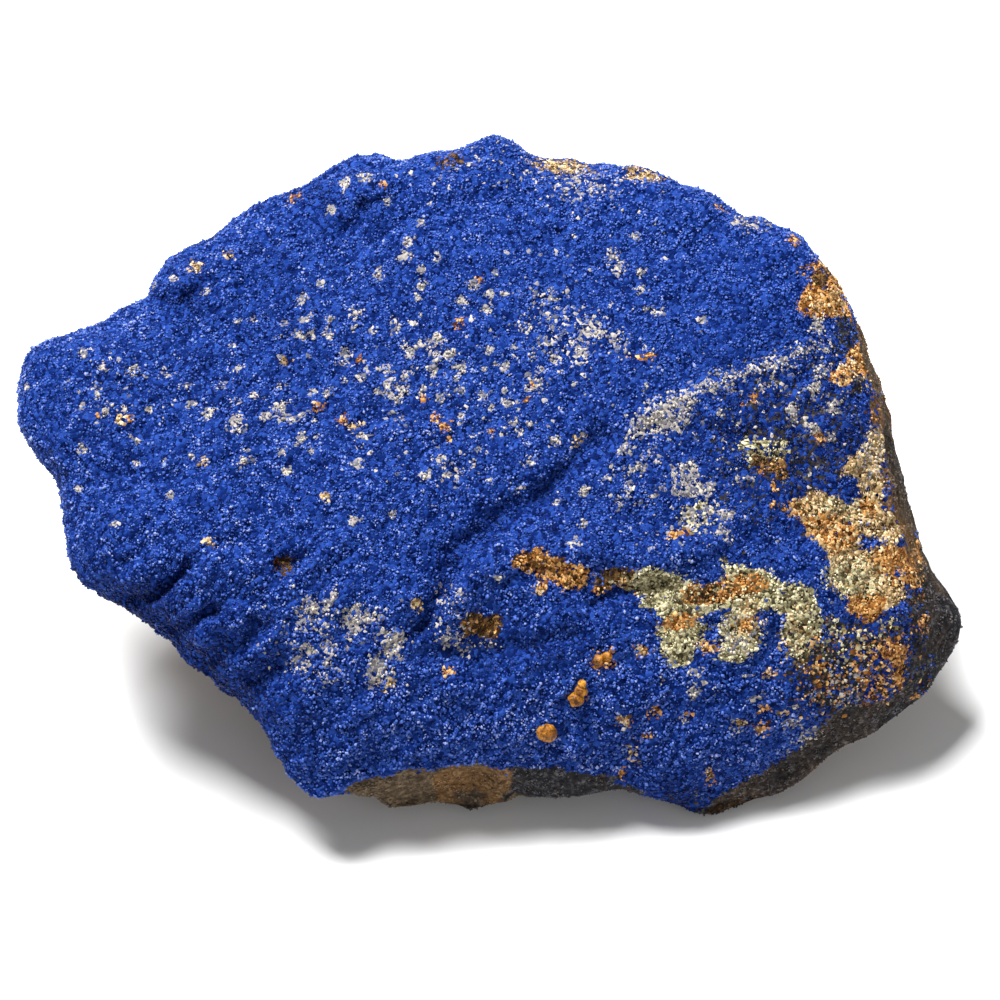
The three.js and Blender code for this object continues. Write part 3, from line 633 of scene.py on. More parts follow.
        (OCHRE, 0.85, 28.7, -5.8, 30.1, -5, 31.3, -5, 32.4, -5.8, 33.5, -7.4, 33, -8.1, 31.6, -8.3, 30.9, -7.3,
         29.6, -6.7),
        (OCHRE, 0.96, 27.1, -9.1, 27.8, -8.4, 29, -8.4, 29.9, -8.8, 30.4, -9.6, 29.6, -10.2, 29, -10.7, 28,
         -10.6, 27.4, -10),
        # tan wall
        (PALE, 0.3, 28, 1.9, 28.4, 3.8, 29.3, 4.2, 30, 3.2, 29.8, 1.5, 29.6, -0.3, 28.7, -0.8, 27.8, 0.2),
        # green middle
        (GREEN, 0.985, 9.3, -7.3, 10, -6.8, 10.9, -7.4, 12, -6.7, 13.2, -7.1, 14.6, -7.4, 16, -8, 17.6, -7.8,
         17.9, -6.8, 17.6, -5.8, 18.5, -6.3, 19.8, -6.9, 21, -6.8, 21.9, -7.8, 23.6, -7.6, 24.4, -8.3, 25, -10,
         25.4, -11.6, 24.5, -12.2, 24.5, -13.5, 23.6, -14.3, 22.8, -13.4, 22.3, -11.6, 22.3, -10.2, 21.7, -9.8,
         20.5, -9.9, 19.9, -10.4, 20.6, -11.6, 20.3, -12.6, 19.5, -13.8, 18.1, -13.9, 17, -13.3, 17.5, -12.2,
         17.6, -10.8, 18.1, -9.8, 16.9, -9.9, 16.1, -10.5, 16.6, -11.6, 15.8, -12.8, 15.3, -13.1, 15.2, -14.2,
         13.8, -14.3, 13, -13.1, 12.7, -11.6, 13.1, -10.5, 12.8, -10, 11.6, -9.6, 11.4, -8.7, 10.3, -8.3, 9.3,
         -7.8),
        # band across
        (OCHRE, 0.75, 14.6, -8.4, 15.4, -7.9, 17, -8.1, 18.1, -7.4, 19.8, -7.1, 20.7, -7.4, 19.9, -8.4, 18.8,
         -9, 17.2, -9.4, 15.2, -9.4, 14.6, -9.1),
        # its dark part
        (BROWN, 0.75, 14.9, -8.4, 16, -8.1, 17.6, -8.2, 17.5, -9.1, 16, -9.3, 15, -9),
        # left ochre
        (OCHRE, 0.85, 13.1, -10.8, 14.1, -10.2, 15.5, -10, 16, -10.5, 15.4, -11.2, 14.1, -11.4, 13.2, -11.4),
        # pale middle
        (PALE, 0.45, 17.6, -11.6, 18.1, -10.2, 19.5, -10.3, 20.2, -11.4, 19.9, -12.9, 18.7, -13.5, 17.5, -13.1),
        # slab
        (OCHRE, 0.92, 1.7, -6.4, 2.1, -5.7, 2.9, -5.2, 3.8, -5.2, 4.4, -5.9, 5.5, -6.2, 7.3, -6.7, 7.8, -7.1,
         7.2, -8.1, 6.5, -8.4, 5.5, -8.2, 4.7, -7.6, 3.8, -7.5, 2.9, -7.2, 2.1, -6.8),
        (BROWN, 0.3, 1.7, -6.4, 2.1, -5.7, 2.9, -5.2, 3.8, -5.2, 4.4, -5.9, 5.5, -6.2, 7.3, -6.7, 7.8, -7.1,
         7.2, -8.1, 6.5, -8.4, 5.5, -8.2, 4.7, -7.6, 3.8, -7.5, 2.9, -7.2, 2.1, -6.8),
        # pit
        (BROWN, 0.97, -1.8, -10.1, -0.8, -10.1, 0.2, -10.5, 1, -10.6, 0.9, -11.9, 0.3, -12.2, -1.2, -11.9, -2.1,
         -11.7, -2.1, -10.8),
        # pit grains
        (OCHRE, 0.4, -1.5, -10.3, -0.5, -10.6, 0.8, -10.9, 0.6, -11.9, -0.5, -11.4, -1.7, -11.6, -2.1, -11.1),
        # dark link
        (BROWN, 0.85, 8.1, -8.5, 8.7, -7.1, 9.7, -6.8, 11.4, -7, 10.9, -7.4, 9.6, -7.3, 9.3, -8.1, 8.5, -8.7),
        # tip
        (SLATE, 0.9, 31.6, -9.1, 33.4, -8.1, 34.5, -8.1, 35.4, -9.4, 36, -11.4, 35.4, -12.9, 34, -14.6, 32.8,
         -16.1, 31.8, -17, 31.8, -15.2, 32.4, -12.9, 32.1, -10.6),
        # dark right
        (SLATE, 0.5, 25.2, -10.2, 27.4, -10.6, 29.6, -10.9, 31.8, -9.6, 32.4, -12.2, 31.8, -17, 29.6, -17.9,
         27.4, -18.7, 25.4, -17.9, 24.5, -16, 24.5, -13.7),
        # strip
        (OCHRE, 0.85, 29.9, -12.4, 30.9, -12.2, 31.8, -12.6, 31.4, -13.8, 31.5, -16, 30.9, -16.2, 30.6, -15.7,
         30.6, -14, 30, -13.4),
        (OCHRE, 0.7, 24, -14.6, 24.6, -13.8, 25.5, -14, 25.6, -15.2, 25.9, -16.6, 25.2, -16.7, 24.9, -15.8),
        (BROWN, 0.5, 24, -14.6, 24.6, -13.8, 25.5, -14, 25.6, -15.2, 25.9, -16.6, 25.2, -16.7, 24.9, -15.8),
    )
    # small patches over those, and azurite that comes back inside them
    upper_rounds: tuple[Round, ...] = Round.rows(
        (PALE, (0.22, -13.1, -10.2, 1.7, 1.4), (0.22, -9.6, -10.6, 1.5, 0.9), (0.3, -7.3, -12.4, 1.2, 1.1),
        (0.3, -8.2, -14.8, 1.3, 1.3)), (SAND, (0.3, -8, -15.6, 1, 0.6)), (PALE, (0.2, -14.4, -13.5, 1.1, 1.2),
        (0.22, -12.3, -13.2, 0.8, 1.3)), (SLATE, (0.3, 14.6, -24.9, 3.2, 1.2), (0.5, 25.6, -15.2, 3.2, 3)),
        (OCHRE, (0.16, 27, -14.5, 4, 3.4)), (GREEN, (0.2, 26.5, -12.4, 3, 1.6)),
        (OCHRE, (0.14, 30, -14, 2.4, 2.4), (0.25, 21.4, 0.9, 0.8, 0.5)),
        (PALE, (0.4, 10.4, -18.2, 0.61, 0.46)), (OCHRE, (0.45, 10.4, -18.2, 0.61, 0.46)),
        (SAND, (0.85, 19, -18.3, 0.46, 0.3, -15)), (OCHRE, (0.6, 20.9, -17.4, 0.61, 0.3, 10),
        (0.7, 20.7, -18.8, 0.38, 0.61)), (SAND, (0.7, 22.6, -17.7, 0.38, 0.3)),
        (OCHRE, (0.6, 12, -19.5, 0.46, 0.23)), (SAND, (0.5, 10.8, -20.9, 0.53, 0.68),
        (0.5, 11.4, -20, 0.3, 0.38)), (OCHRE, (0.7, 10.1, -22.4, 0.3, 0.46)),
        (SAND, (0.6, 16.9, -21.9, 0.3, 0.3)), (OCHRE, (0.5, 16.8, -22.7, 0.46, 0.53)),
        (PALE, (0.35, 16, -16, 1.1, 0.76), (0.3, 23.9, -19.4, 0.91, 0.91), (0.25, 27, -16, 1.9, 1.4)),
        (OCHRE, (0.35, 28.9, -16, 1.5, 0.91), (0.75, 12.5, -17.6, 0.5, 0.5), (0.75, 15.1, -17.9, 0.35, 0.35),
        (0.7, 11.5, -13, 0.45, 0.4)), (BROWN, (0.5, 6.7, -16.6, 0.75, 0.5)),
        (OCHRE, (0.7, 8.5, -13.8, 0.8, 0.7), (0.5, -3.3, -14.5, 0.4, 0.4), (0.5, 31.4, -7, 1.2, 1)),
        (BROWN, (0.3, 31.5, -8.6, 1.2, 0.8)), (GREEN, (0.75, 27.6, -7.4, 2.2, 1.7), (0.6, 26.6, -2, 1.6, 0.9)),
        (SAND, (0.45, 25.6, 13.4, 1.5, 1), (0.35, 27.6, 8, 1.6, 1.4), (0.4, 19.4, -10.6, 1.2, 2),
        (0.3, 23.2, -11.4, 1.2, 2.4)), (PALE, (0.6, -9.1, -10.6, 0.68, 0.61), (0.6, -13.9, -12.8, 0.61, 0.61),
        (0.5, -12.2, -12.9, 0.46, 1.3, -10), (0.45, -14.5, -14.3, 0.99, 0.38), (0.3, -12.5, -15.2, 0.61, 0.3),
        (0.6, -2.1, -8.7, 0.53, 0.38, -30), (0.65, -3, -12.2, 0.61, 0.53, -30), (0.5, -1.7, -13.1, 0.46, 0.61),
        (0.3, -0.4, -12.5, 1.1, 0.46), (0.2, -3, -10.3, 1.4, 2.4), (0.6, 10.6, -0.8, 0.53, 0.68),
        (0.7, 9.2, 0.5, 0.53, 0.3, 20), (0.55, 12.3, 2.3, 0.3, 0.53), (0.55, 10.5, 2.4, 0.53, 0.38),
        (0.35, 16, -2.7, 1.4, 1.1), (0.55, 17.9, -2.7, 0.61, 0.46), (0.75, 17.9, -4.1, 0.46, 0.46)),
        (OCHRE, (0.75, 14.4, -4, 0.84, 0.34, 25)), (PALE, (0.65, 26.2, 5.5, 0.61, 0.53),
        (0.5, 21.3, 7.2, 1.1, 0.53)), (OCHRE, (0.8, 19.9, 6.3, 0.61, 0.23, 10), (0.7, 19, 5.7, 0.23, 0.23),
        (0.8, 24.9, 3.3, 0.53, 0.3, -20), (0.75, 21.7, -0.5, 0.23, 0.53), (0.6, 21.5, -2, 0.3, 0.3),
        (0.65, 22.9, -2.1, 0.61, 0.46), (0.8, 8.4, -8.4, 0.38, 0.3, 30), (0.7, 10, -7.8, 0.68, 0.3, -25),
        (0.8, 4, -8.1, 0.3, 0.38), (0.9, 19.4, -11, 0.61, 0.68), (0.75, 16.5, -12.8, 0.68, 0.53),
        (0.5, 29.4, -12.8, 0.84, 0.46), (0.6, 28, -14, 0.38, 0.61), (0.45, 33.2, -10.9, 0.99, 0.61),
        (0.45, 33.4, -8.8, 0.53, 0.3)), (GREEN, (0.45, 30.4, -10.9, 0.91, 0.46),
        (0.3, 28.7, -12.2, 0.76, 0.76)), (OCHRE, (0.6, 21.4, -14.6, 0.38, 0.46)),
        (PALE, (0.4, 15.8, -14.6, 0.61, 0.46)), (OCHRE, (0.4, 23.6, -2.3, 0.46, 0.61),
        (0.5, 24.7, -12.2, 0.3, 0.76)), (BROWN, (0.45, 28.5, -3.9, 1.1, 0.7)),
        (OCHRE, (0.75, 19.7, -8.1, 1.2, 0.6)), (BROWN, (0.3, 18.6, -8.2, 1.6, 0.6)),
        (AZURITE, (1, 29, -4.6, 0.99, 0.53), (0.95, 26.9, -0.8, 1.1, 0.68), (0.5, 31.2, -7.2, 0.38, 0.38)),
        (SLATE, (0.7, 28, 7.2, 0.46, 0.91)), (BROWN, (0.75, -15.7, -6.5, 0.76, 0.68)),
        (OCHRE, (0.6, -16.2, -6.3, 0.3, 0.46)), (PALE, (0.25, 5.3, 11.4, 3, 2.1)),
    )
    ridge: Path = pairs(11.4, 4.6, 16, 7, 19.4, 8.2, 22.8, 9.1, 25.8, 10.6)
    crust_edge: Path = pairs(
        28, 11.4, 29, 7.6, 30.1, 3.8, 30.3, -1.5, 31.8, -6.1, 33.3, -9.1, 33.7, -12.2, 32.3, -15.4, 30.4, -16.5,
        28.1, -16.9, 26.2, -17.5, 25.2, -18.4, 24.2, -19.5, 23.2, -20.4, 21.7, -21.4, 19.4, -22.5, 17.4, -23.8,
        16.4, -26.4,
    )
    # fmt: on
    ridge_width: float = 0.65
    ridge_share: float = 0.5
    # over these distances the crust fades out below the lip and past its right edge
    lip_fade: tuple[float, float] = (0.02, 0.22)
    wall_fade: tuple[float, float] = (0.05, 0.4)
    # x, y, two radii, turn in degrees, how much painted shade darkens the blue grains there, a value below 0
    # being painted light
    painted_shade_zones: tuple[Blob, ...] = (
        (2, 20, 30, 8, -5, -0.1), (2, -18.5, 13, 4, 0, -0.15), (-24, -12.8, 9.5, 2.3, -34, 0.55),
        (-26, -9.4, 3, 1.3, 25, 0.3), (-22.8, 13.7, 1.2, 2, 0, 0.4), (-13.1, 21.5, 1.4, 2.4, 20, 0.35),
        (-9.9, 19.9, 3.4, 1.2, 10, 0.22), (-16, 16.1, 0.8, 1, 0, 0.35), (23, 3, 7, 6, 0, 0.5),
        (1, -13.2, 7, 1.6, 8, 0.25), (29, -13, 4.5, 3.6, 0, 0.35), (14.6, -24.6, 4, 1.8, 0, 0.6),
        (-18, -19.5, 5, 1.4, -60, 0.2),
    )  # fmt: skip
    # painted shade in the grooves: a blue grain's shade falls by this much for each millimetre of groove depth
    painted_groove_shade: float = 0.22
    # the grains differ less from each other here
    calm: Blob = (9, 17, 22, 9, -12, 0.35)
    # how far round the rim the crust reaches, and the height and spacing of that edge's waves
    wrap: tuple[float, float] = (0.015, 0.07)
    wrap_waves: tuple[tuple[float, float], ...] = ((0.04, 4.5), (0.025, 1.3))
    # on the sides the patches stray by this far, so that they don't run down in stripes
    stray: tuple[float, float] = (1.5, 2.4)
    stray_from: tuple[float, float] = (0.965, 0.995)
    wall_from: tuple[float, float] = (0.94, 0.985)
    wall_share: float = 0.97
    wall_top: float = 11.4
    low_wall_dark: float = 0.8
    # the bare stone's beds: mineral, share, whether it takes the high or the low beds, and from where
    bed_kinds: tuple[tuple, ...] = ((RUST, 0.8, 1, 0, 0.45), (SLATE, 0.56, -1, 0.15, 0.6))
    # loose grains on the broken side: mineral, share and seed, then their zones' spacing and range
    back_specks: tuple[tuple, ...] = ((OCHRE, 0.09, 46), (SAND, 0.06, 47), (AZURITE, 0.08, 48))
    back_zones: tuple[float, float, float] = (3.5, -0.2, 0.7)
    tip_top: float = -8.0
    tip_across: tuple[float, float] = (29.0, 33.0)
    tip_down: tuple[float, float] = (6.0, 9.0)
    tip_share: float = 0.88

    def painted_shade_of_blue(self, x: Array, y: Array) -> Array:
        """Painted shade on the blue grains: in the grooves by their depth, and in the shade zones, whose values
        below 0 are painted light.

        Args:
            x, y: coordinates on the face plane.

        Returns:
            Amounts to take off a blue grain's shade.
        """
        hollow = sum(groove.at(x, y) for groove in self.form.grooves if groove.height < 0)
        zones = sum(zone[5] * np.exp(-blob_radius(x, y, zone)) for zone in self.painted_shade_zones)
        return zones - self.painted_groove_shade * hollow

    def spread_of_blue(self, x: Array, y: Array) -> Array:
        """How much the grains' shades differ, less in the calm zone."""
        return 1 - self.calm[5] * np.exp(-(blob_radius(x, y, self.calm) ** 2))

    def specks(self) -> list[Round]:
        """The small specks, placed and strewn; strewn ones lie most thickly mid-zone.

        Returns:
            Round patches, in the order in which they are laid.
        """
        rng = np.random.default_rng(self.speck_seed)
        share = self.speck_share
        found = [
            Round(mineral, share, x, y, r, r)
            for mineral, r, *line in self.placed_specks
            for x, y in pairs(*line)
        ]
        least, most = self.speck_size
        for x, y, wide, high, count in self.strewn:
            shifts, draws = rng.normal(0, self.strewn_spread, (2, count)), rng.random((2, count))
            for dx, dy, size, kind in zip(*shifts, *draws):
                mineral = OCHRE if kind < self.ochre_among_specks else PALE
                r = least + (most - least) * size**2
                found.append(Round(mineral, share, x + wide * dx, y + high * dy, r, r))
        return found

    def shares(self, points: Array, x: Array, y: Array, out: Array, front: Array) -> dict[Mineral, Array]:
        """Share of each mineral among the grains at points of the surface.

        Each patch takes its cover from what lies under it, in order; the points are first
        shifted a little by noise, so that the edges run unevenly. The broken side is bare stone
        with rusty and dark beds.

        Args:
            points: positions in millimetres.
            x, y: coordinates on the face plane.
            out: how far out towards the outline, 1 being on it.
            front: whether the point is on the face and not on the broken side.

        Returns:
            For each mineral but azurite, values between 0 and 1.
        """
        far, spacing = self.stray
        far = far * ramp(out, *self.stray_from)
        x, y = x + far * unevenness(points, spacing, 28), y + far * unevenness(points, spacing, 38)
        wx = x + sum(h * unevenness(points, s, 20 + k) for k, (h, s) in enumerate(self.warps))
        wy = y + sum(h * unevenness(points, s, 30 + k) for k, (h, s) in enumerate(self.warps))
        height, spacing = self.speck_warp
        sx, sy = (v + height * unevenness(points, spacing, k) for v, k in ((x, 26), (y, 36)))
        found = {mineral: np.zeros_like(x) for mineral in Mineral if mineral is not AZURITE}

        def paint(mineral: Mineral, cover: Array) -> None:
            """Lays a cover of one mineral over what is there.

            Args:
                mineral: what is laid.
                cover: its share at each point.
            """
            for share in found.values():
                share *= 1 - cover
            if mineral in found:
                found[mineral] += cover

        distance, below, within = self.form.below_lip(x, y)
        paint(BARE, np.where(below, within * ramp(distance, *self.lip_fade), 0))
        distance, beyond = from_path(wx, wy, self.crust_edge)
        wall = (beyond > 0) & (wy < self.wall_top)
        paint(BARE, np.where(wall, ramp(distance, *self.wall_fade), 0))
        for spot in self.rounds:
            paint(spot.mineral, spot.cover(wx, wy))
        for spot in self.specks():
            paint(spot.mineral, spot.cover(sx, sy))
        distance, _ = from_path(wx, wy, self.ridge)
        paint(PALE, self.ridge_share * np.exp(-((distance / self.ridge_width) ** 2)))
        for patch in (*self.patches, *self.upper_rounds):
            paint(patch.mineral, patch.cover(wx, wy))
        side = self.wall_share * ramp(out, *self.wall_from)
        paint(BARE, np.where(wall, side, 0))
        paint(SLATE, np.where(wall & (wy <= self.tip_top), self.low_wall_dark * side, 0))
        uneven = sum(h * unevenness(points, s, 40 + k) for k, (h, s) in enumerate(self.wrap_waves))
        back = np.where(front, 0, ramp(1 - out + uneven, *self.wrap))
        paint(BARE, back)
        bed = unevenness(self.form.beds(points), 1, 43)
        bare = np.where(front & ~wall, 0, found[BARE])
        for mineral, share, sign, low, high in self.bed_kinds:
            part = share * bare * ramp(sign * bed, low, high)
            found[mineral] += part
            found[BARE] -= part
        tip = ramp(x, *self.tip_across) * ramp(-y, *self.tip_down)
        paint(SLATE, np.where(wall | ~front, self.tip_share * tip, 0))
        spacing, low, high = self.back_zones
        for mineral, share, seed in self.back_specks:
            paint(mineral, back * share * ramp(unevenness(points, spacing, seed), low, high))
        return found


def disc(steps: int) -> tuple[Array, Array, Array, Array]:
    """Square grid carried onto a disc, each square ring becoming a round one.

    Args:
        steps: cells along a side, even.

    Returns:
        The grid's own u and v between -1 and 1, and the ring's radius and angle.
    """
    side = np.linspace(-1, 1, steps + 1)
    u, v = np.meshgrid(side, side, indexing="ij")
    wide = np.abs(u) >= np.abs(v)
    reach = np.where(wide, u, v)
    safe = np.where(reach == 0, 1, reach)
    turn = np.where(wide, math.pi / 4 * v / safe, math.pi / 2 - math.pi / 4 * u / safe)
    return u, v, np.abs(reach), np.arctan2(reach * np.sin(turn), reach * np.cos(turn))


@dataclass
class Lens:
    """Two discs that share their rim: the numbering and faces of one closed surface."""

    steps: int

    def numbers(self) -> tuple[Array, Array, Array]:
        """Vertex numbers of the front and the back grid, and which of the back's are its own.

        Returns:
            Both grids of numbers, and a grid that is true inside the rim.
        """
        n = self.steps + 1
        front = np.arange(n * n).reshape(n, n)
        back = front.copy()
        inner = np.zeros((n, n), bool)
        inner[1:-1, 1:-1] = True
        back[inner] = n * n + np.arange((n - 2) ** 2)
        return front, back, inner

    def quads(self) -> tuple[Array, Array, Array]:
        """Faces of both discs, outward.

        Returns:
            Vertex numbers of each face, its corners' places on the grid, and its disc, 0 or 1.
        """
        front, back, _ = self.numbers()
        n = self.steps + 1
        flat = np.arange(n * n).reshape(n, n)

        def corners(grid: Array) -> Array:
            """Four corners of each cell, anticlockwise."""
            return np.stack([grid[:-1, :-1], grid[1:, :-1], grid[1:, 1:], grid[:-1, 1:]], -1).reshape(-1, 4)

        faces = np.concatenate([corners(front), corners(back)[:, ::-1]])
        places = np.concatenate([corners(flat), corners(flat)[:, ::-1]])
        side = np.repeat([0, 1], self.steps**2)
        return faces, places, side


def vertex_normals(points: Array, quads: Array) -> Array:
    """Mean outward direction at each vertex, weighted by the area of the faces round it.

    Args:
        points: vertices.
        quads: vertex numbers, four for each face.

    Returns:
        Directions of length 1.
    """
    a, b, c, d = (points[quads[:, k]] for k in range(4))
    face = np.cross(c - a, d - b)
    total = np.zeros_like(points)
    for k in range(4):
        for axis in range(3):
            total[:, axis] += np.bincount(quads[:, k], face[:, axis], len(points))
    return total / np.maximum(np.linalg.norm(total, axis=1, keepdims=True), 1e-12)


def make_mesh(name: str, points: Array, faces: Array, soft: bool) -> bpy.types.Object:
    """Puts worked-out points and faces into a mesh object at the origin.

    Args:
        name: the piece's name.
        points: vertices in millimetres.
        faces: vertex numbers, one row for each face.
        soft: whether the faces are shaded smoothly.

    Returns:
        The new object, linked into the scene.
    """
    mesh = bpy.data.meshes.new(name)
    mesh.vertices.add(len(points))
    mesh.vertices.foreach_set("co", (points * MM).astype(np.float32).ravel())
    mesh.loops.add(faces.size)
    mesh.loops.foreach_set("vertex_index", faces.astype(np.int32).ravel())
    mesh.polygons.add(len(faces))
    mesh.polygons.foreach_set("loop_start", np.arange(0, faces.size, faces.shape[1], dtype=np.int32))
    mesh.polygons.foreach_set("use_smooth", np.full(len(faces), soft))
    mesh.update(calc_edges=True)
    piece = bpy.data.objects.new(name, mesh)
    bpy.context.scene.collection.objects.link(piece)
    return piece


def store(mesh: bpy.types.Mesh, name: str, values: Array) -> None:
    """Keeps one number for each vertex as a named attribute."""
    attribute = mesh.attributes.new(name, "FLOAT", "POINT")
    attribute.data.foreach_set("value", values.astype(np.float32).ravel())


def store_map(mesh: bpy.types.Mesh, corners: Array) -> None:
    """Keeps a flat map with one position for each face corner."""
    layer = mesh.uv_layers.new(name=BAKE_MAP)
    layer.data.foreach_set("uv", corners.astype(np.float32).ravel())


def settle(piece: bpy.types.Object, finish: bpy.types.Material) -> bpy.types.Object:
    """Dresses a piece and lets it ride with the stone.

    Args:
        piece: the object.
        finish: its material.

    Returns:
        The same object.
    """
    piece.data.materials.append(finish)
    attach(piece, "root")
    LOG.info("%s: %d faces", piece.name, len(piece.data.polygons))
    return piece


Input = bpy.types.NodeSocket | float | tuple[float, float, float, float]


class Tree:
    """One material's node tree, with short ways to add and join its nodes."""

    def __init__(self, name: str) -> None:
        """Starts an empty tree."""
        self.material = bpy.data.materials.new(name)
        self.material.use_nodes = True
        self.nodes = self.material.node_tree.nodes
        self.links = self.material.node_tree.links
        self.nodes.clear()

    def add(self, kind: str, inputs: dict | None = None, **settings) -> bpy.types.Node:
        """Adds a node.

        Args:
            kind: the node's type name without ShaderNode.
            inputs: for socket names or numbers, a value or a socket to join from.
            **settings: the node's own properties.

        Returns:
            The node.
        """
        node = self.nodes.new("ShaderNode" + kind)
        for key, value in settings.items():
            setattr(node, key, value)
        for key, value in (inputs or {}).items():
            if isinstance(value, bpy.types.NodeSocket):
                self.links.new(value, node.inputs[key])
            else:
                node.inputs[key].default_value = value
        return node

    def place(self) -> bpy.types.NodeSocket:
        """The point's position on the piece."""
        return self.add("TexCoord").outputs["Object"]

    def attribute(self, name: str) -> bpy.types.NodeSocket:
        """A number kept on the piece's vertices."""
        return self.add("Attribute", attribute_name=name).outputs["Fac"]

    def noise(self, place: bpy.types.NodeSocket, scale: float, detail: float) -> bpy.types.NodeSocket:
        """Cloudy noise with so many steps by the metre."""
        return self.add("TexNoise", {"Vector": place, "Scale": scale, "Detail": detail}).outputs["Fac"]

    def bump(self, height: bpy.types.NodeSocket, strength: float, depth: float) -> bpy.types.NodeSocket:
        """Direction of a surface that is bumped by so many metres."""
        return self.add("Bump", {"Strength": strength, "Distance": depth, "Height": height}).outputs[0]

    def span(self, value: bpy.types.NodeSocket, ends: tuple[float, float]) -> bpy.types.NodeSocket:
        """Carries 0 to 1 onto the span between two ends."""
        return self.add("MapRange", {"Value": value, "To Min": ends[0], "To Max": ends[1]}).outputs[0]

    def maths(self, operation: str, a: Input, b: Input = 0.5, c: Input = 0.5) -> bpy.types.NodeSocket:
        """One step of arithmetic."""
        return self.add("Math", {0: a, 1: b, 2: c}, operation=operation).outputs[0]

    def about_half(self, value: bpy.types.NodeSocket, contrast: float, start: Input) -> bpy.types.NodeSocket:
        """A start plus contrast * (value - 0.5)."""
        return self.maths("MULTIPLY_ADD", self.maths("SUBTRACT", value, 0.5), contrast, start)

    def blend(self, factor: Input, a: Input, b: Input) -> bpy.types.NodeSocket:
        """Mix of two colours.

        Args:
            factor: how much of the second, a socket or a value.
            a: first colour, a socket or a value.
            b: second colour, a socket or a value.

        Returns:
            The mixed colour.
        """
        node = self.add("Mix", data_type="RGBA")
        for socket, value in ((node.inputs[0], factor), (node.inputs[6], a), (node.inputs[7], b)):
            if isinstance(value, bpy.types.NodeSocket):
                self.links.new(value, socket)
            else:
                socket.default_value = value
        return node.outputs[2]

    def ramp(self, factor: bpy.types.NodeSocket, stops: Stops) -> bpy.types.NodeSocket:
        """Colours along a factor from 0 to 1.

        Args:
            factor: socket that picks the place.
            stops: positions, each with its colour.

        Returns:
            The colour there.
        """
        node = self.add("ValToRGB", {"Fac": factor})
        elements = node.color_ramp.elements
        while len(elements) < len(stops):
            elements.new(0.5)
        for element, (position, colour) in zip(elements, stops):
            element.position = position
            element.color = (*colour, 1)
        return node.outputs["Color"]

    def finish(
        self, colour: Input, roughness: Input, normal: bpy.types.NodeSocket, **constants: float
    ) -> bpy.types.Material:
        """Closes the tree with a principled surface.

        Args:
            colour: socket or value of the base colour.
            roughness: socket or value of the roughness.
            normal: socket of the bumped direction.
            **constants: further inputs by name, with _ for a space, set as they are.

        Returns:
            The finished material.
        """
        surface = self.add("BsdfPrincipled", {"Base Color": colour, "Roughness": roughness, "Normal": normal})
        for key, value in constants.items():
            surface.inputs[key.replace("_", " ")].default_value = value
        self.add("OutputMaterial", {"Surface": surface.outputs[0]})
        return self.material


# dark blue for the surface seen between the grains: painted shade in the gaps
PAINTED_GAP_SHADE_STOPS: Stops = ((0.0, (0.0004, 0.004, 0.04)), (0.6, (0.005, 0.022, 0.15)), (1.0, (0.022, 0.066, 0.32)))
# fmt: off
PALETTE: dict[Mineral, Stops] = {
    # the azurite's whitish stop at 1.0 is a painted glint on the few brightest grains
    AZURITE: ((0.0, (0.0006, 0.006, 0.06)), (0.35, (0.011, 0.039, 0.215)), (0.7, (0.042, 0.104, 0.43)),
              (0.93, (0.095, 0.17, 0.54)), (1.0, (0.27, 0.33, 0.64))),
    PALE: ((0.0, (0.07, 0.08, 0.13)), (0.5, (0.27, 0.25, 0.245)), (1.0, (0.59, 0.53, 0.44))),
    GREEN: ((0.0, (0.013, 0.01, 0.006)), (0.3, (0.12, 0.1, 0.05)), (0.6, (0.36, 0.325, 0.175)),
            (1.0, (0.8, 0.74, 0.5))),
    SAND: ((0.0, (0.022, 0.011, 0.005)), (0.3, (0.18, 0.11, 0.045)), (0.6, (0.41, 0.28, 0.13)),
           (1.0, (0.84, 0.66, 0.40))),
    OCHRE: ((0.0, (0.025, 0.009, 0.003)), (0.3, (0.18, 0.067, 0.015)), (0.6, (0.43, 0.185, 0.045)),
            (1.0, (0.76, 0.46, 0.18))),
    BROWN: ((0.0, (0.012, 0.008, 0.006)), (0.6, (0.07, 0.036, 0.014)), (1.0, (0.26, 0.14, 0.05))),
    RUST: ((0.0, (0.05, 0.024, 0.010)), (0.5, (0.135, 0.072, 0.030)), (1.0, (0.31, 0.185, 0.09))),
    SLATE: ((0.0, (0.005, 0.005, 0.006)), (0.6, (0.025, 0.0235, 0.026)), (1.0, (0.13, 0.125, 0.135))),
    # the bare stone's stops are kept darker than the stone's own colour, as painted shade for the underside
    # under the lip; the broken side takes the same colour
    BARE: ((0.0, (0.026, 0.018, 0.012)), (0.5, (0.078, 0.055, 0.035)), (1.0, (0.20, 0.145, 0.092))),
}
# fmt: on
STONY = (RUST, SLATE, BARE)
GRAINY = (PALE, GREEN, SAND, OCHRE, BROWN)
DRAW_ORDER = (*GRAINY, *STONY)


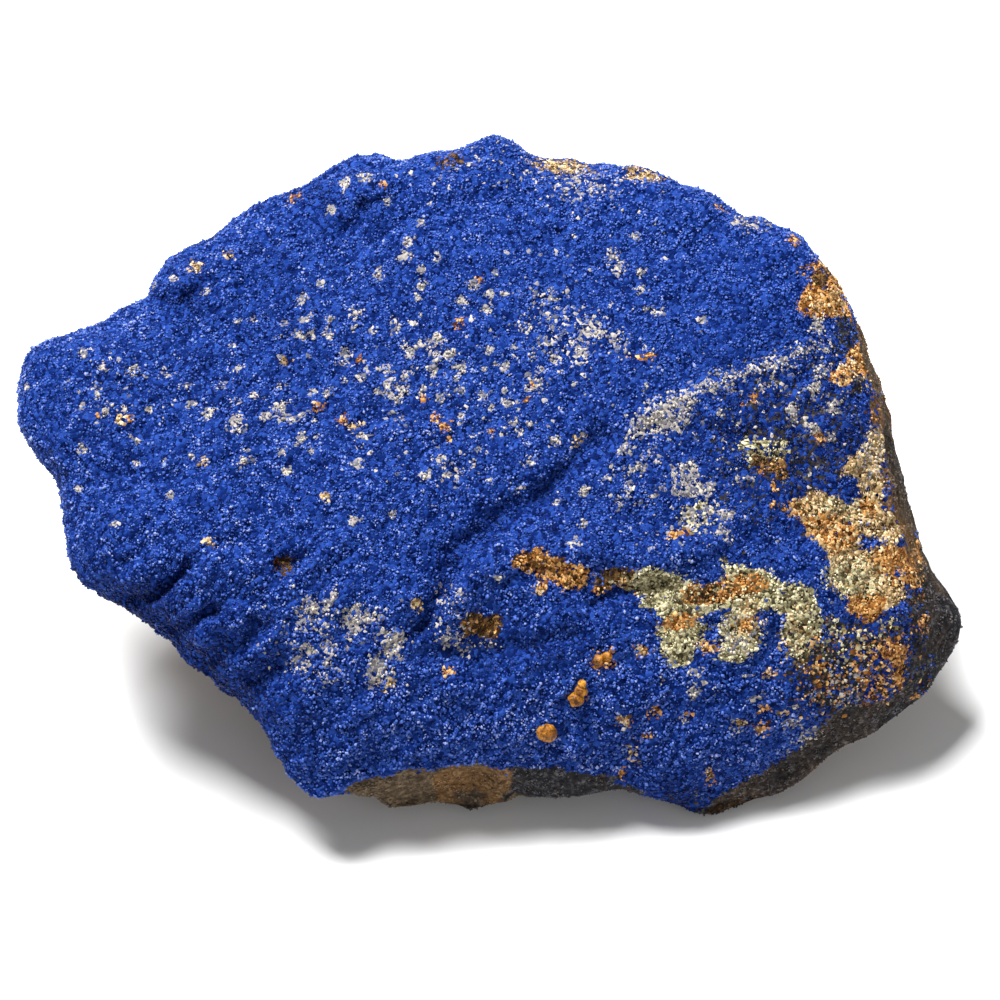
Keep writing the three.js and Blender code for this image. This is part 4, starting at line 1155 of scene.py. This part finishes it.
@dataclass(frozen=True)
class StoneFinish:
    """The stone between and behind its loose grains: cells the size of a grain, one mineral each."""

    # steps of the patterns, each by the metre
    cells: float = 3400.0
    wobbles: float = 2200.0
    stains: float = 260.0
    grit: float = 1900.0
    fine: float = 5200.0
    wobble: float = 0.00016
    grit_contrast: float = 1.7
    cell_contrast: float = 0.3
    stain_range: tuple[float, float] = (0.3, 1.7)
    rough: tuple[float, float] = (0.55, 0.85)
    bump: float = 0.00012
    specular: float = 0.02

    def material(self) -> bpy.types.Material:
        """Builds the node tree; a cell takes a mineral when its chance is under that share.

        Returns:
            The material.
        """
        tree = Tree("crust_and_sandstone")
        place = tree.place()
        wobble = tree.add("TexNoise", {"Vector": place, "Scale": self.wobbles, "Detail": 2.0}).outputs["Color"]
        shift = {0: wobble, 1: (self.wobble,) * 3, 2: place}
        shifted = tree.add("VectorMath", shift, operation="MULTIPLY_ADD").outputs[0]
        cells = tree.add("TexVoronoi", {"Vector": shifted, "Scale": self.cells, "Randomness": 1.0})
        parts = tree.add("SeparateColor", {0: cells.outputs["Color"]})
        chance, shade = parts.outputs[0], parts.outputs[1]
        stain = tree.noise(place, self.stains, 6.0)
        grain = tree.about_half(tree.noise(place, self.grit, 6.0), self.grit_contrast, 0.5)
        grain = tree.about_half(shade, self.cell_contrast, grain)
        low, high = self.stain_range
        uneven = tree.maths("MULTIPLY_ADD", stain, high - low, low)
        rust = tree.maths("MULTIPLY", tree.attribute("rust"), uneven)
        slate = tree.maths("MULTIPLY", tree.attribute("slate"), uneven)
        stone = tree.blend(rust, tree.ramp(grain, PALETTE[BARE]), tree.ramp(grain, PALETTE[RUST]))
        stone = tree.blend(slate, stone, tree.ramp(grain, PALETTE[SLATE]))
        # cells that no mineral takes show the dark blue of painted shade between the grains
        colour = tree.ramp(shade, PAINTED_GAP_SHADE_STOPS)
        colour = tree.blend(tree.maths("LESS_THAN", chance, tree.attribute("stone")), colour, stone)
        for mineral in reversed(GRAINY):
            here = tree.maths("LESS_THAN", chance, tree.attribute("up_to_" + mineral.value))
            colour = tree.blend(here, colour, tree.ramp(shade, PALETTE[mineral]))
        fine = tree.maths("MULTIPLY", tree.noise(place, self.fine, 3.0), 0.4)
        height = tree.maths("SUBTRACT", fine, cells.outputs["Distance"])
        bump = tree.bump(height, 0.9, self.bump)
        return tree.finish(colour, tree.span(shade, self.rough), bump, Specular_IOR_Level=self.specular)


@dataclass(frozen=True)
class GrainFinish:
    """Loose grains of one mineral: each grain has its own shade, mottled a little across."""

    mineral: Mineral
    mottles: float = 6000.0
    drifts: float = 260.0
    contrast: float = 0.35
    rough: tuple[float, float] = (0.3, 0.6)
    specular: float = 0.18
    bump: float = 0.00002

    def material(self) -> bpy.types.Material:
        """Builds the node tree.

        Returns:
            The material.
        """
        tree = Tree(self.mineral.value + "_grains")
        place = tree.place()
        mottle = tree.noise(place, self.mottles, 3.0)
        shade = tree.about_half(mottle, self.contrast, tree.attribute("shade"))
        shade = tree.about_half(tree.noise(place, self.drifts, 3.0), self.contrast, shade)
        colour = tree.ramp(shade, PALETTE[self.mineral])
        bump = tree.bump(mottle, 0.6, self.bump)
        return tree.finish(colour, tree.span(mottle, self.rough), bump, Specular_IOR_Level=self.specular)


@dataclass(frozen=True)
class NoduleFinish:
    """Small tan nodules: smooth rusty skin, mottled with paler tan."""

    stops: Stops = ((0.3, (0.05, 0.016, 0.001)), (0.5, (0.27, 0.095, 0.005)), (0.75, (0.62, 0.29, 0.03)))
    clouds: float = 1500.0
    specks: float = 7000.0
    contrast: float = 0.6
    rough: tuple[float, float] = (0.4, 0.7)
    bump: float = 0.00006
    specular: float = 0.3

    def material(self) -> bpy.types.Material:
        """Builds the node tree.

        Returns:
            The material.
        """
        tree = Tree("tan_nodule")
        place = tree.place()
        cloud = tree.noise(place, self.clouds, 4.0)
        tone = tree.about_half(tree.noise(place, self.specks, 2.0), self.contrast, cloud)
        colour, rough = tree.ramp(tone, self.stops), tree.span(cloud, self.rough)
        return tree.finish(colour, rough, tree.bump(tone, 0.8, self.bump), Specular_IOR_Level=self.specular)


@dataclass(frozen=True)
class FloorFinish:
    """Plain pale matt board."""

    colour: tuple[float, float, float, float] = (0.86, 0.86, 0.86, 1)
    darker: tuple[float, float, float, float] = (0.8428, 0.8428, 0.8428, 1)
    roughness: float = 0.9
    specular: float = 0.1

    def material(self) -> bpy.types.Material:
        """Builds the node tree, with a faint unevenness in tone.

        Returns:
            The material.
        """
        tree = Tree("pale_floor")
        tone = tree.noise(tree.place(), 3.0, 2.0)
        colour, bump = tree.blend(tone, self.colour, self.darker), tree.bump(tone, 0.02, 0.0005)
        return tree.finish(colour, self.roughness, bump, Specular_IOR_Level=self.specular)


@dataclass
class StoneBody:
    """The stone's whole closed surface, finely divided."""

    form: StoneForm
    minerals: MineralMap
    steps: int = 220
    grain_depth: float = 0.15
    face_map: tuple[float, float] = (0.003, 0.64)
    back_map: tuple[float, float] = (0.653, 0.344)
    map_margin: float = 0.003

    def surface(self) -> dict[str, Array]:
        """Works out the surface: two discs pulled onto the face and the broken side.

        The height at a point is the rim's height plus (1 - out^p)^(1/r) of the way from there
        to the face or the broken side; each vertex then moves along its own outward direction
        by the unevenness of the crust and the broken stone, and none lies under the ground.

        Returns:
            Points, faces, corner places, side of each face, and face-plane x, y, out and front.
        """
        form = self.form
        lens = Lens(self.steps)
        _, _, ring, angle = disc(self.steps)
        out = np.minimum(ring * (1 + form.rim_crowding * (1 - ring**2)), 1)
        x, y = form.point_at(angle, out)
        rim = form.rim_height(angle)
        halves = []
        for (power, root), target in (
            (form.face_rounding, form.face_height(x, y)),
            (form.back_rounding, np.minimum(form.back_height(x, y), rim - form.back_depth)),
        ):
            full = (1 - out**power) ** (1 / root)
            halves.append(form.plane.place(x, y, rim + full * (target - rim)))
        _, _, inner = lens.numbers()
        quads, places, side = lens.quads()

        def both(front: Array, back: Array) -> Array:
            """Joins the front grid's values with those of the back's own vertices.

            Args:
                front: the front grid's values.
                back: the back grid's values.

            Returns:
                One for each vertex.
            """
            return np.concatenate([front.reshape(-1, *front.shape[2:]), back[inner]])

        points = both(*halves)
        xs, ys, outs = both(x, x), both(y, y), both(out, out)
        front = both(np.ones_like(x), np.zeros_like(x)) > 0.5
        mix = ramp(outs, form.mix_from, 1) / 2
        share = np.where(front, mix, 1 - mix)
        normal = vertex_normals(points, quads)
        crust = sum(h * unevenness(points, s, k) for h, s, k in form.crust_swell)
        broken = form.broken_relief(points)
        crust_grit = sum(h * unevenness(points, s, k) for h, s, k in form.crust_grit)
        folds = form.folds(xs, ys)
        move = (crust + crust_grit + folds - self.grain_depth) * (1 - share) + broken * share
        points = points + normal * move[:, None]
        points[:, 2] = np.maximum(points[:, 2], 0)
        return {
            "points": points, "quads": quads, "places": places, "side": side,
            "x": xs, "y": ys, "out": outs, "front": front,
        }  # fmt: skip

    def corner_map(self, places: Array, side: Array) -> Array:
        """Flat map: the face's square on the left, the broken side's on the right.

        Args:
            places: each face corner's place on the grid.
            side: the disc of each face.

        Returns:
            A position on the map for each face corner.
        """
        u, v, _, _ = disc(self.steps)
        u, v = (u.ravel()[places] + 1) / 2, (v.ravel()[places] + 1) / 2
        start = np.where(side == 0, self.face_map[0], self.back_map[0])[:, None]
        width = np.where(side == 0, self.face_map[1], self.back_map[1])[:, None]
        return np.stack([start + width * u, self.map_margin + (1 - 2 * self.map_margin) * v], axis=-1)

    def build(self) -> tuple[bpy.types.Object, dict[str, Array]]:
        """Makes and dresses the piece, which stands for the plain solid.

        Returns:
            The piece, and the surface that it was made from.
        """
        data = self.surface()
        piece = make_mesh("stone_body", data["points"], data["quads"], True)
        shares = self.minerals.shares(*(data[key] for key in ("points", "x", "y", "out", "front")))
        total = 0
        for mineral in GRAINY:
            total = total + shares[mineral]
            store(piece.data, "up_to_" + mineral.value, total)
        stone = sum(shares[mineral] for mineral in STONY)
        store(piece.data, "stone", total + stone)
        rust = shares[RUST] / np.maximum(shares[RUST] + shares[BARE], 0.001)
        store(piece.data, "rust", rust)
        store(piece.data, "slate", shares[SLATE] / np.maximum(stone, 0.001))
        store_map(piece.data, self.corner_map(data["places"], data["side"]))
        settle(piece, StoneFinish().material())
        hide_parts(NODE)
        return piece, data


@dataclass
class GrainCoat:
    """Loose grains over the face and the rim: small uneven octahedra, joined by mineral."""

    minerals: MineralMap
    count: int = 121000
    largest_piece: int = 24000
    seed: int = 11
    size: float = 0.1
    smaller: dict[Mineral, float] = field(
        default_factory=lambda: {AZURITE: 0.09, RUST: 0.085, SLATE: 0.08, BARE: 0.085}
    )
    spread: float = 0.28
    stretch: tuple[float, float] = (0.75, 1.3)
    slimness: tuple[float, float, float] = (1.3, 1.0, 0.85)
    sink: tuple[float, float] = (-0.75, 0.5)
    stony_sink: tuple[float, float] = (-1.0, 0.1)
    clumps: tuple[float, float, int] = (0.09, 0.42, 50)
    back_reach: float = 0.9
    # how much a grain's shade varies by chance, by its height and by its clump; the height and clump parts are
    # painted shade, darker for grains sunk low between the others and in low clumps
    shading: tuple[float, float, float] = (0.65, 0.3, 0.5)
    blue_shading: float = 0.93

    def scatter(self, data: dict[str, Array]) -> dict[str, Array]:
        """Draws points evenly over the face side and over the rim's back.

        Args:
            data: the stone's surface.

        Returns:
            For each grain its position, outward direction, face-plane x and y, out and front.
        """
        rng = np.random.default_rng(self.seed)
        quads, points = data["quads"], data["points"]
        a, b, c, d = (points[quads[:, k]] for k in range(4))
        area = np.linalg.norm(np.cross(c - a, d - b), axis=1) / 2
        keep = (data["side"] == 0) | (data["out"][quads].mean(axis=1) > self.back_reach)
        weight = area * keep
        chosen = rng.choice(len(quads), self.count, p=weight / weight.sum())
        s, t = rng.random((2, self.count, 1))
        corners = quads[chosen]

        def across(values: Array) -> Array:
            """Value at the drawn place inside each chosen face.

            Args:
                values: one for each vertex.

            Returns:
                One for each grain.
            """
            v = values[corners].reshape(self.count, 4, -1)
            return (v[:, 0] * (1 - s) + v[:, 1] * s) * (1 - t) + (v[:, 3] * (1 - s) + v[:, 2] * s) * t

        normal = vertex_normals(points, quads)
        return {
            "at": across(points), "normal": across(normal), "x": across(data["x"])[:, 0],
            "y": across(data["y"])[:, 0], "out": across(data["out"])[:, 0],
            "front": data["side"][chosen] == 0,
        }  # fmt: skip

    def sort(self, grains: dict[str, Array]) -> Array:
        """Gives each grain a mineral by drawing against the shares where it lies.

        Args:
            grains: what scatter gives.

        Returns:
            For each grain the number of its mineral in the Enum's order.
        """
        rng = np.random.default_rng(self.seed + 1)
        shares = self.minerals.shares(*(grains[key] for key in ("at", "x", "y", "out", "front")))
        draw = rng.random(self.count)
        kind = np.zeros(self.count, int)
        total = 0
        for mineral in DRAW_ORDER:
            earlier, total = total, total + shares[mineral]
            kind[(draw >= earlier) & (draw < total)] = list(Mineral).index(mineral)
        return kind

    def crystals(self, grains: dict[str, Array], mineral: Mineral, seed: int) -> tuple[Array, Array, Array]:
        """Uneven octahedra: six points on three turned axes, each with its own length.

        Args:
            grains: the grains' places, outward directions and face-plane x and y.
            mineral: what they are made of.
            seed: for the draws.

        Returns:
            Points, triangles, and a shade between 0 and 1 for each grain.
        """
        rng = np.random.default_rng(seed)
        at, x, y = grains["at"], grains["x"], grains["y"]
        n = len(at)
        size = self.smaller.get(mineral, self.size) * np.exp(rng.normal(0, self.spread, n))
        turn = rng.normal(size=(n, 4))
        w, i, j, k = (turn / np.linalg.norm(turn, axis=1, keepdims=True)).T
        axes = np.stack(
            [
                np.stack([1 - 2 * (j * j + k * k), 2 * (i * j + w * k), 2 * (i * k - w * j)], -1),
                np.stack([2 * (i * j - w * k), 1 - 2 * (i * i + k * k), 2 * (j * k + w * i)], -1),
                np.stack([2 * (i * k + w * j), 2 * (j * k - w * i), 1 - 2 * (i * i + j * j)], -1),
            ],
            axis=1,
        )
        slim = np.array(self.slimness)[:, None]
        lengths = size[:, None, None] * rng.uniform(*self.stretch, (n, 3, 2)) * slim
        height, spacing, noise = self.clumps
        low, high = self.stony_sink if mineral in STONY else self.sink
        rise, lump = rng.random(n), unevenness(at, spacing, noise)
        lift = size * (low + (high - low) * rise) + height * lump
        centre = at + grains["normal"] * lift[:, None]
        by_chance, painted_shade_by_rise, painted_shade_by_lump = self.shading
        # random tone, plus painted shade: grains sunk low and in low clumps are darker
        shade = by_chance * (rng.random(n) - 0.5) + painted_shade_by_rise * (rise - 0.5) + painted_shade_by_lump * lump
        # blue grains also take painted shade in the grooves and the shade zones, and painted light where those
        # zones are below 0
        if mineral is AZURITE:
            shade = self.blue_shading * shade * self.minerals.spread_of_blue(x, y)
            shade -= self.minerals.painted_shade_of_blue(x, y)
        shade = np.clip(0.5 + shade, 0, 1)
        tips = [centre[:, None] + axes * lengths[:, :, :1], centre[:, None] - axes * lengths[:, :, 1:]]
        points = np.concatenate(tips, axis=1)
        octahedron = np.array(
            [[0, 1, 2], [1, 3, 2], [3, 4, 2], [4, 0, 2], [1, 0, 5], [3, 1, 5], [4, 3, 5], [0, 4, 5]]
        )
        faces = (np.arange(n) * 6)[:, None, None] + octahedron
        return points.reshape(-1, 3), faces.reshape(-1, 3), shade

    def corner_map(self, count: int) -> Array:
        """Flat map: each grain has its own small square, and each face a triangle in it.

        Args:
            count: number of grains.

        Returns:
            A position on the map for each face corner.
        """
        across = math.ceil(math.sqrt(count))
        cell = np.stack([np.arange(count) % across, np.arange(count) // across], -1) / across
        corners = np.array([[0.15, 0.15], [0.85, 0.15], [0.5, 0.85]]) / across
        return np.broadcast_to(cell[:, None, None] + corners, (count, 8, 3, 2)).reshape(-1, 2)

    def build(self, data: dict[str, Array]) -> list[bpy.types.Object]:
        """Makes the grains of each mineral, in pieces that stay small enough.

        Args:
            data: the stone's surface.

        Returns:
            The pieces.
        """
        grains = self.scatter(data)
        kind = self.sort(grains)
        pieces = []
        for number, mineral in enumerate(Mineral):
            chosen = np.flatnonzero(kind == number)
            finish = GrainFinish(mineral).material()
            parts = max(1, math.ceil(len(chosen) / self.largest_piece))
            for part, members in enumerate(np.array_split(chosen, parts)):
                seed = self.seed + 100 * (number + 1) + part
                chosen_ones = {key: values[members] for key, values in grains.items()}
                points, faces, shade = self.crystals(chosen_ones, mineral, seed)
                points[:, 2] = np.maximum(points[:, 2], 0)
                piece = make_mesh(f"{mineral.value}_grains_{part + 1}", points, faces, True)
                store(piece.data, "shade", np.repeat(shade, 6))
                store_map(piece.data, self.corner_map(len(members)))
                pieces.append(settle(piece, finish))
        return pieces


@dataclass
class Nodules:
    """Small tan nodules that stand on the crust."""

    form: StoneForm
    # x, y, radius
    spots: tuple[Row, ...] = (
        (4.3, -19.2, 0.72), (6.5, -16.6, 0.6), (6.9, -16, 0.5), (7, -15.5, 0.35), (8.2, -13.7, 0.5),
        (8.9, -13.4, 0.4), (9.3, -12.9, 0.3),
    )  # fmt: skip
    steps: int = 20
    sink: float = 0.4
    # height, spacing and first seed of their unevenness, in radii
    bumps: tuple[tuple[float, float, int], ...] = ((0.2, 0.9, 5), (0.16, 0.4, 30))

    def build(self) -> bpy.types.Object:
        """Makes them as round shells: two discs bent into half spheres, then made uneven.

        Returns:
            The piece.
        """
        lens = Lens(self.steps)
        _, _, ring, angle = disc(self.steps)
        _, _, inner = lens.numbers()
        quads, _, _ = lens.quads()
        tilt = ring * math.pi / 2
        flat = np.stack([np.sin(tilt) * np.cos(angle), np.sin(tilt) * np.sin(angle)], -1)
        top = np.concatenate([flat, np.cos(tilt)[..., None]], -1)
        low = np.concatenate([flat, -np.cos(tilt)[..., None]], -1)
        ball = np.concatenate([top.reshape(-1, 3), low[inner]])
        points, faces = [], []
        for number, (x, y, radius) in enumerate(self.spots):
            height = self.form.face_height(np.array([x]), np.array([y])) - self.sink * radius
            foot = self.form.plane.place(np.array([x]), np.array([y]), height)[0]
            rough = sum(h * unevenness(ball, s, seed + number) for h, s, seed in self.bumps)
            points.append(foot + radius * ball * (1 + rough)[:, None])
            faces.append(quads + number * len(ball))
        piece = make_mesh("tan_nodules", np.concatenate(points), np.concatenate(faces), True)
        return settle(piece, NoduleFinish().material())


@dataclass(frozen=True)
class Lamp:
    """A square soft light, turned to the stone, in metres and watts."""

    name: str
    place: tuple[float, float, float]
    size: float
    energy: float
    aim: tuple[float, float, float] = (0, 0, 0.015)

    def hang(self) -> None:
        """Puts the light into the scene."""
        data = bpy.data.lights.new(self.name, "AREA")
        data.size, data.energy = self.size, self.energy
        lamp = bpy.data.objects.new(self.name, data)
        back = Vector(self.place) - Vector(self.aim)
        lamp.matrix_world = Matrix.Translation(self.place) @ back.to_track_quat("Z", "Y").to_matrix().to_4x4()
        bpy.context.scene.collection.objects.link(lamp)


@dataclass
class Studio:
    """Pale floor, soft lights, and the camera straight in front of the face plane."""

    form: StoneForm
    lens: float = 189.5
    # millimetres by which the camera stands off the middle of the face plane
    shift: tuple[float, float] = (0.76, -1.52)
    floor_half: float = 1.5
    # one above and a little behind the stone, and a weak one from the front
    lamps: tuple[Lamp, ...] = (
        Lamp("key", (-0.22, 0.19, 0.77), 0.3, 15.2),
        Lamp("fill", (0.25, -0.65, 0.45), 0.6, 1.1),
    )
    world: float = 0.25

    def floor(self) -> None:
        """Lays the floor as a flat grid at the ground level."""
        side = np.linspace(-self.floor_half, self.floor_half, 9) / MM
        u, v = np.meshgrid(side, side, indexing="ij")
        grid = np.arange(81).reshape(9, 9)
        faces = np.stack([grid[:-1, :-1], grid[1:, :-1], grid[1:, 1:], grid[:-1, 1:]], -1).reshape(-1, 4)
        piece = make_mesh("floor", np.stack([u, v, 0 * u], -1).reshape(-1, 3), faces, False)
        piece.data.materials.append(FloorFinish().material())

    def camera(self) -> None:
        """Puts the camera where the outline's sides meet, looking square onto the face plane."""
        tilt = self.form.plane.tilt
        out = Vector((0, -math.cos(tilt), math.sin(tilt)))
        up = Vector((0, math.sin(tilt), math.cos(tilt)))
        middle = Vector(self.form.plane.middle) * MM
        data = bpy.data.cameras.new("camera")
        data.lens, data.sensor_width = self.lens, 36
        data.clip_start, data.clip_end = 0.01, 20
        camera = bpy.data.objects.new("camera", data)
        across, along = self.shift
        seat = middle + (Vector((across, 0, 0)) + up * along + out * self.form.plane.taper) * MM
        camera.matrix_world = Matrix.Translation(seat) @ out.to_track_quat("Z", "Y").to_matrix().to_4x4()
        bpy.context.scene.collection.objects.link(camera)
        bpy.context.scene.camera = camera

    def light(self) -> None:
        """Hangs the lights and sets the room's faint even light."""
        for lamp in self.lamps:
            lamp.hang()
        world = bpy.data.worlds.new("soft_room")
        world.use_nodes = True
        background = world.node_tree.nodes["Background"]
        background.inputs[0].default_value = (1, 1, 1, 1)
        background.inputs[1].default_value = self.world
        bpy.context.scene.world = world
        bpy.context.scene.view_settings.view_transform = "Standard"

    def build(self) -> None:
        """Sets up the whole studio."""
        self.camera()
        self.floor()
        self.light()


def main() -> None:
    """Builds the specimen and its studio."""
    logging.basicConfig(level=logging.INFO, format="%(message)s")
    form = StoneForm()
    Studio(form).build()
    minerals = MineralMap(form)
    _, data = StoneBody(form, minerals).build()
    GrainCoat(minerals).build(data)
    Nodules(form).build()


if __name__ == "__main__":
    main()
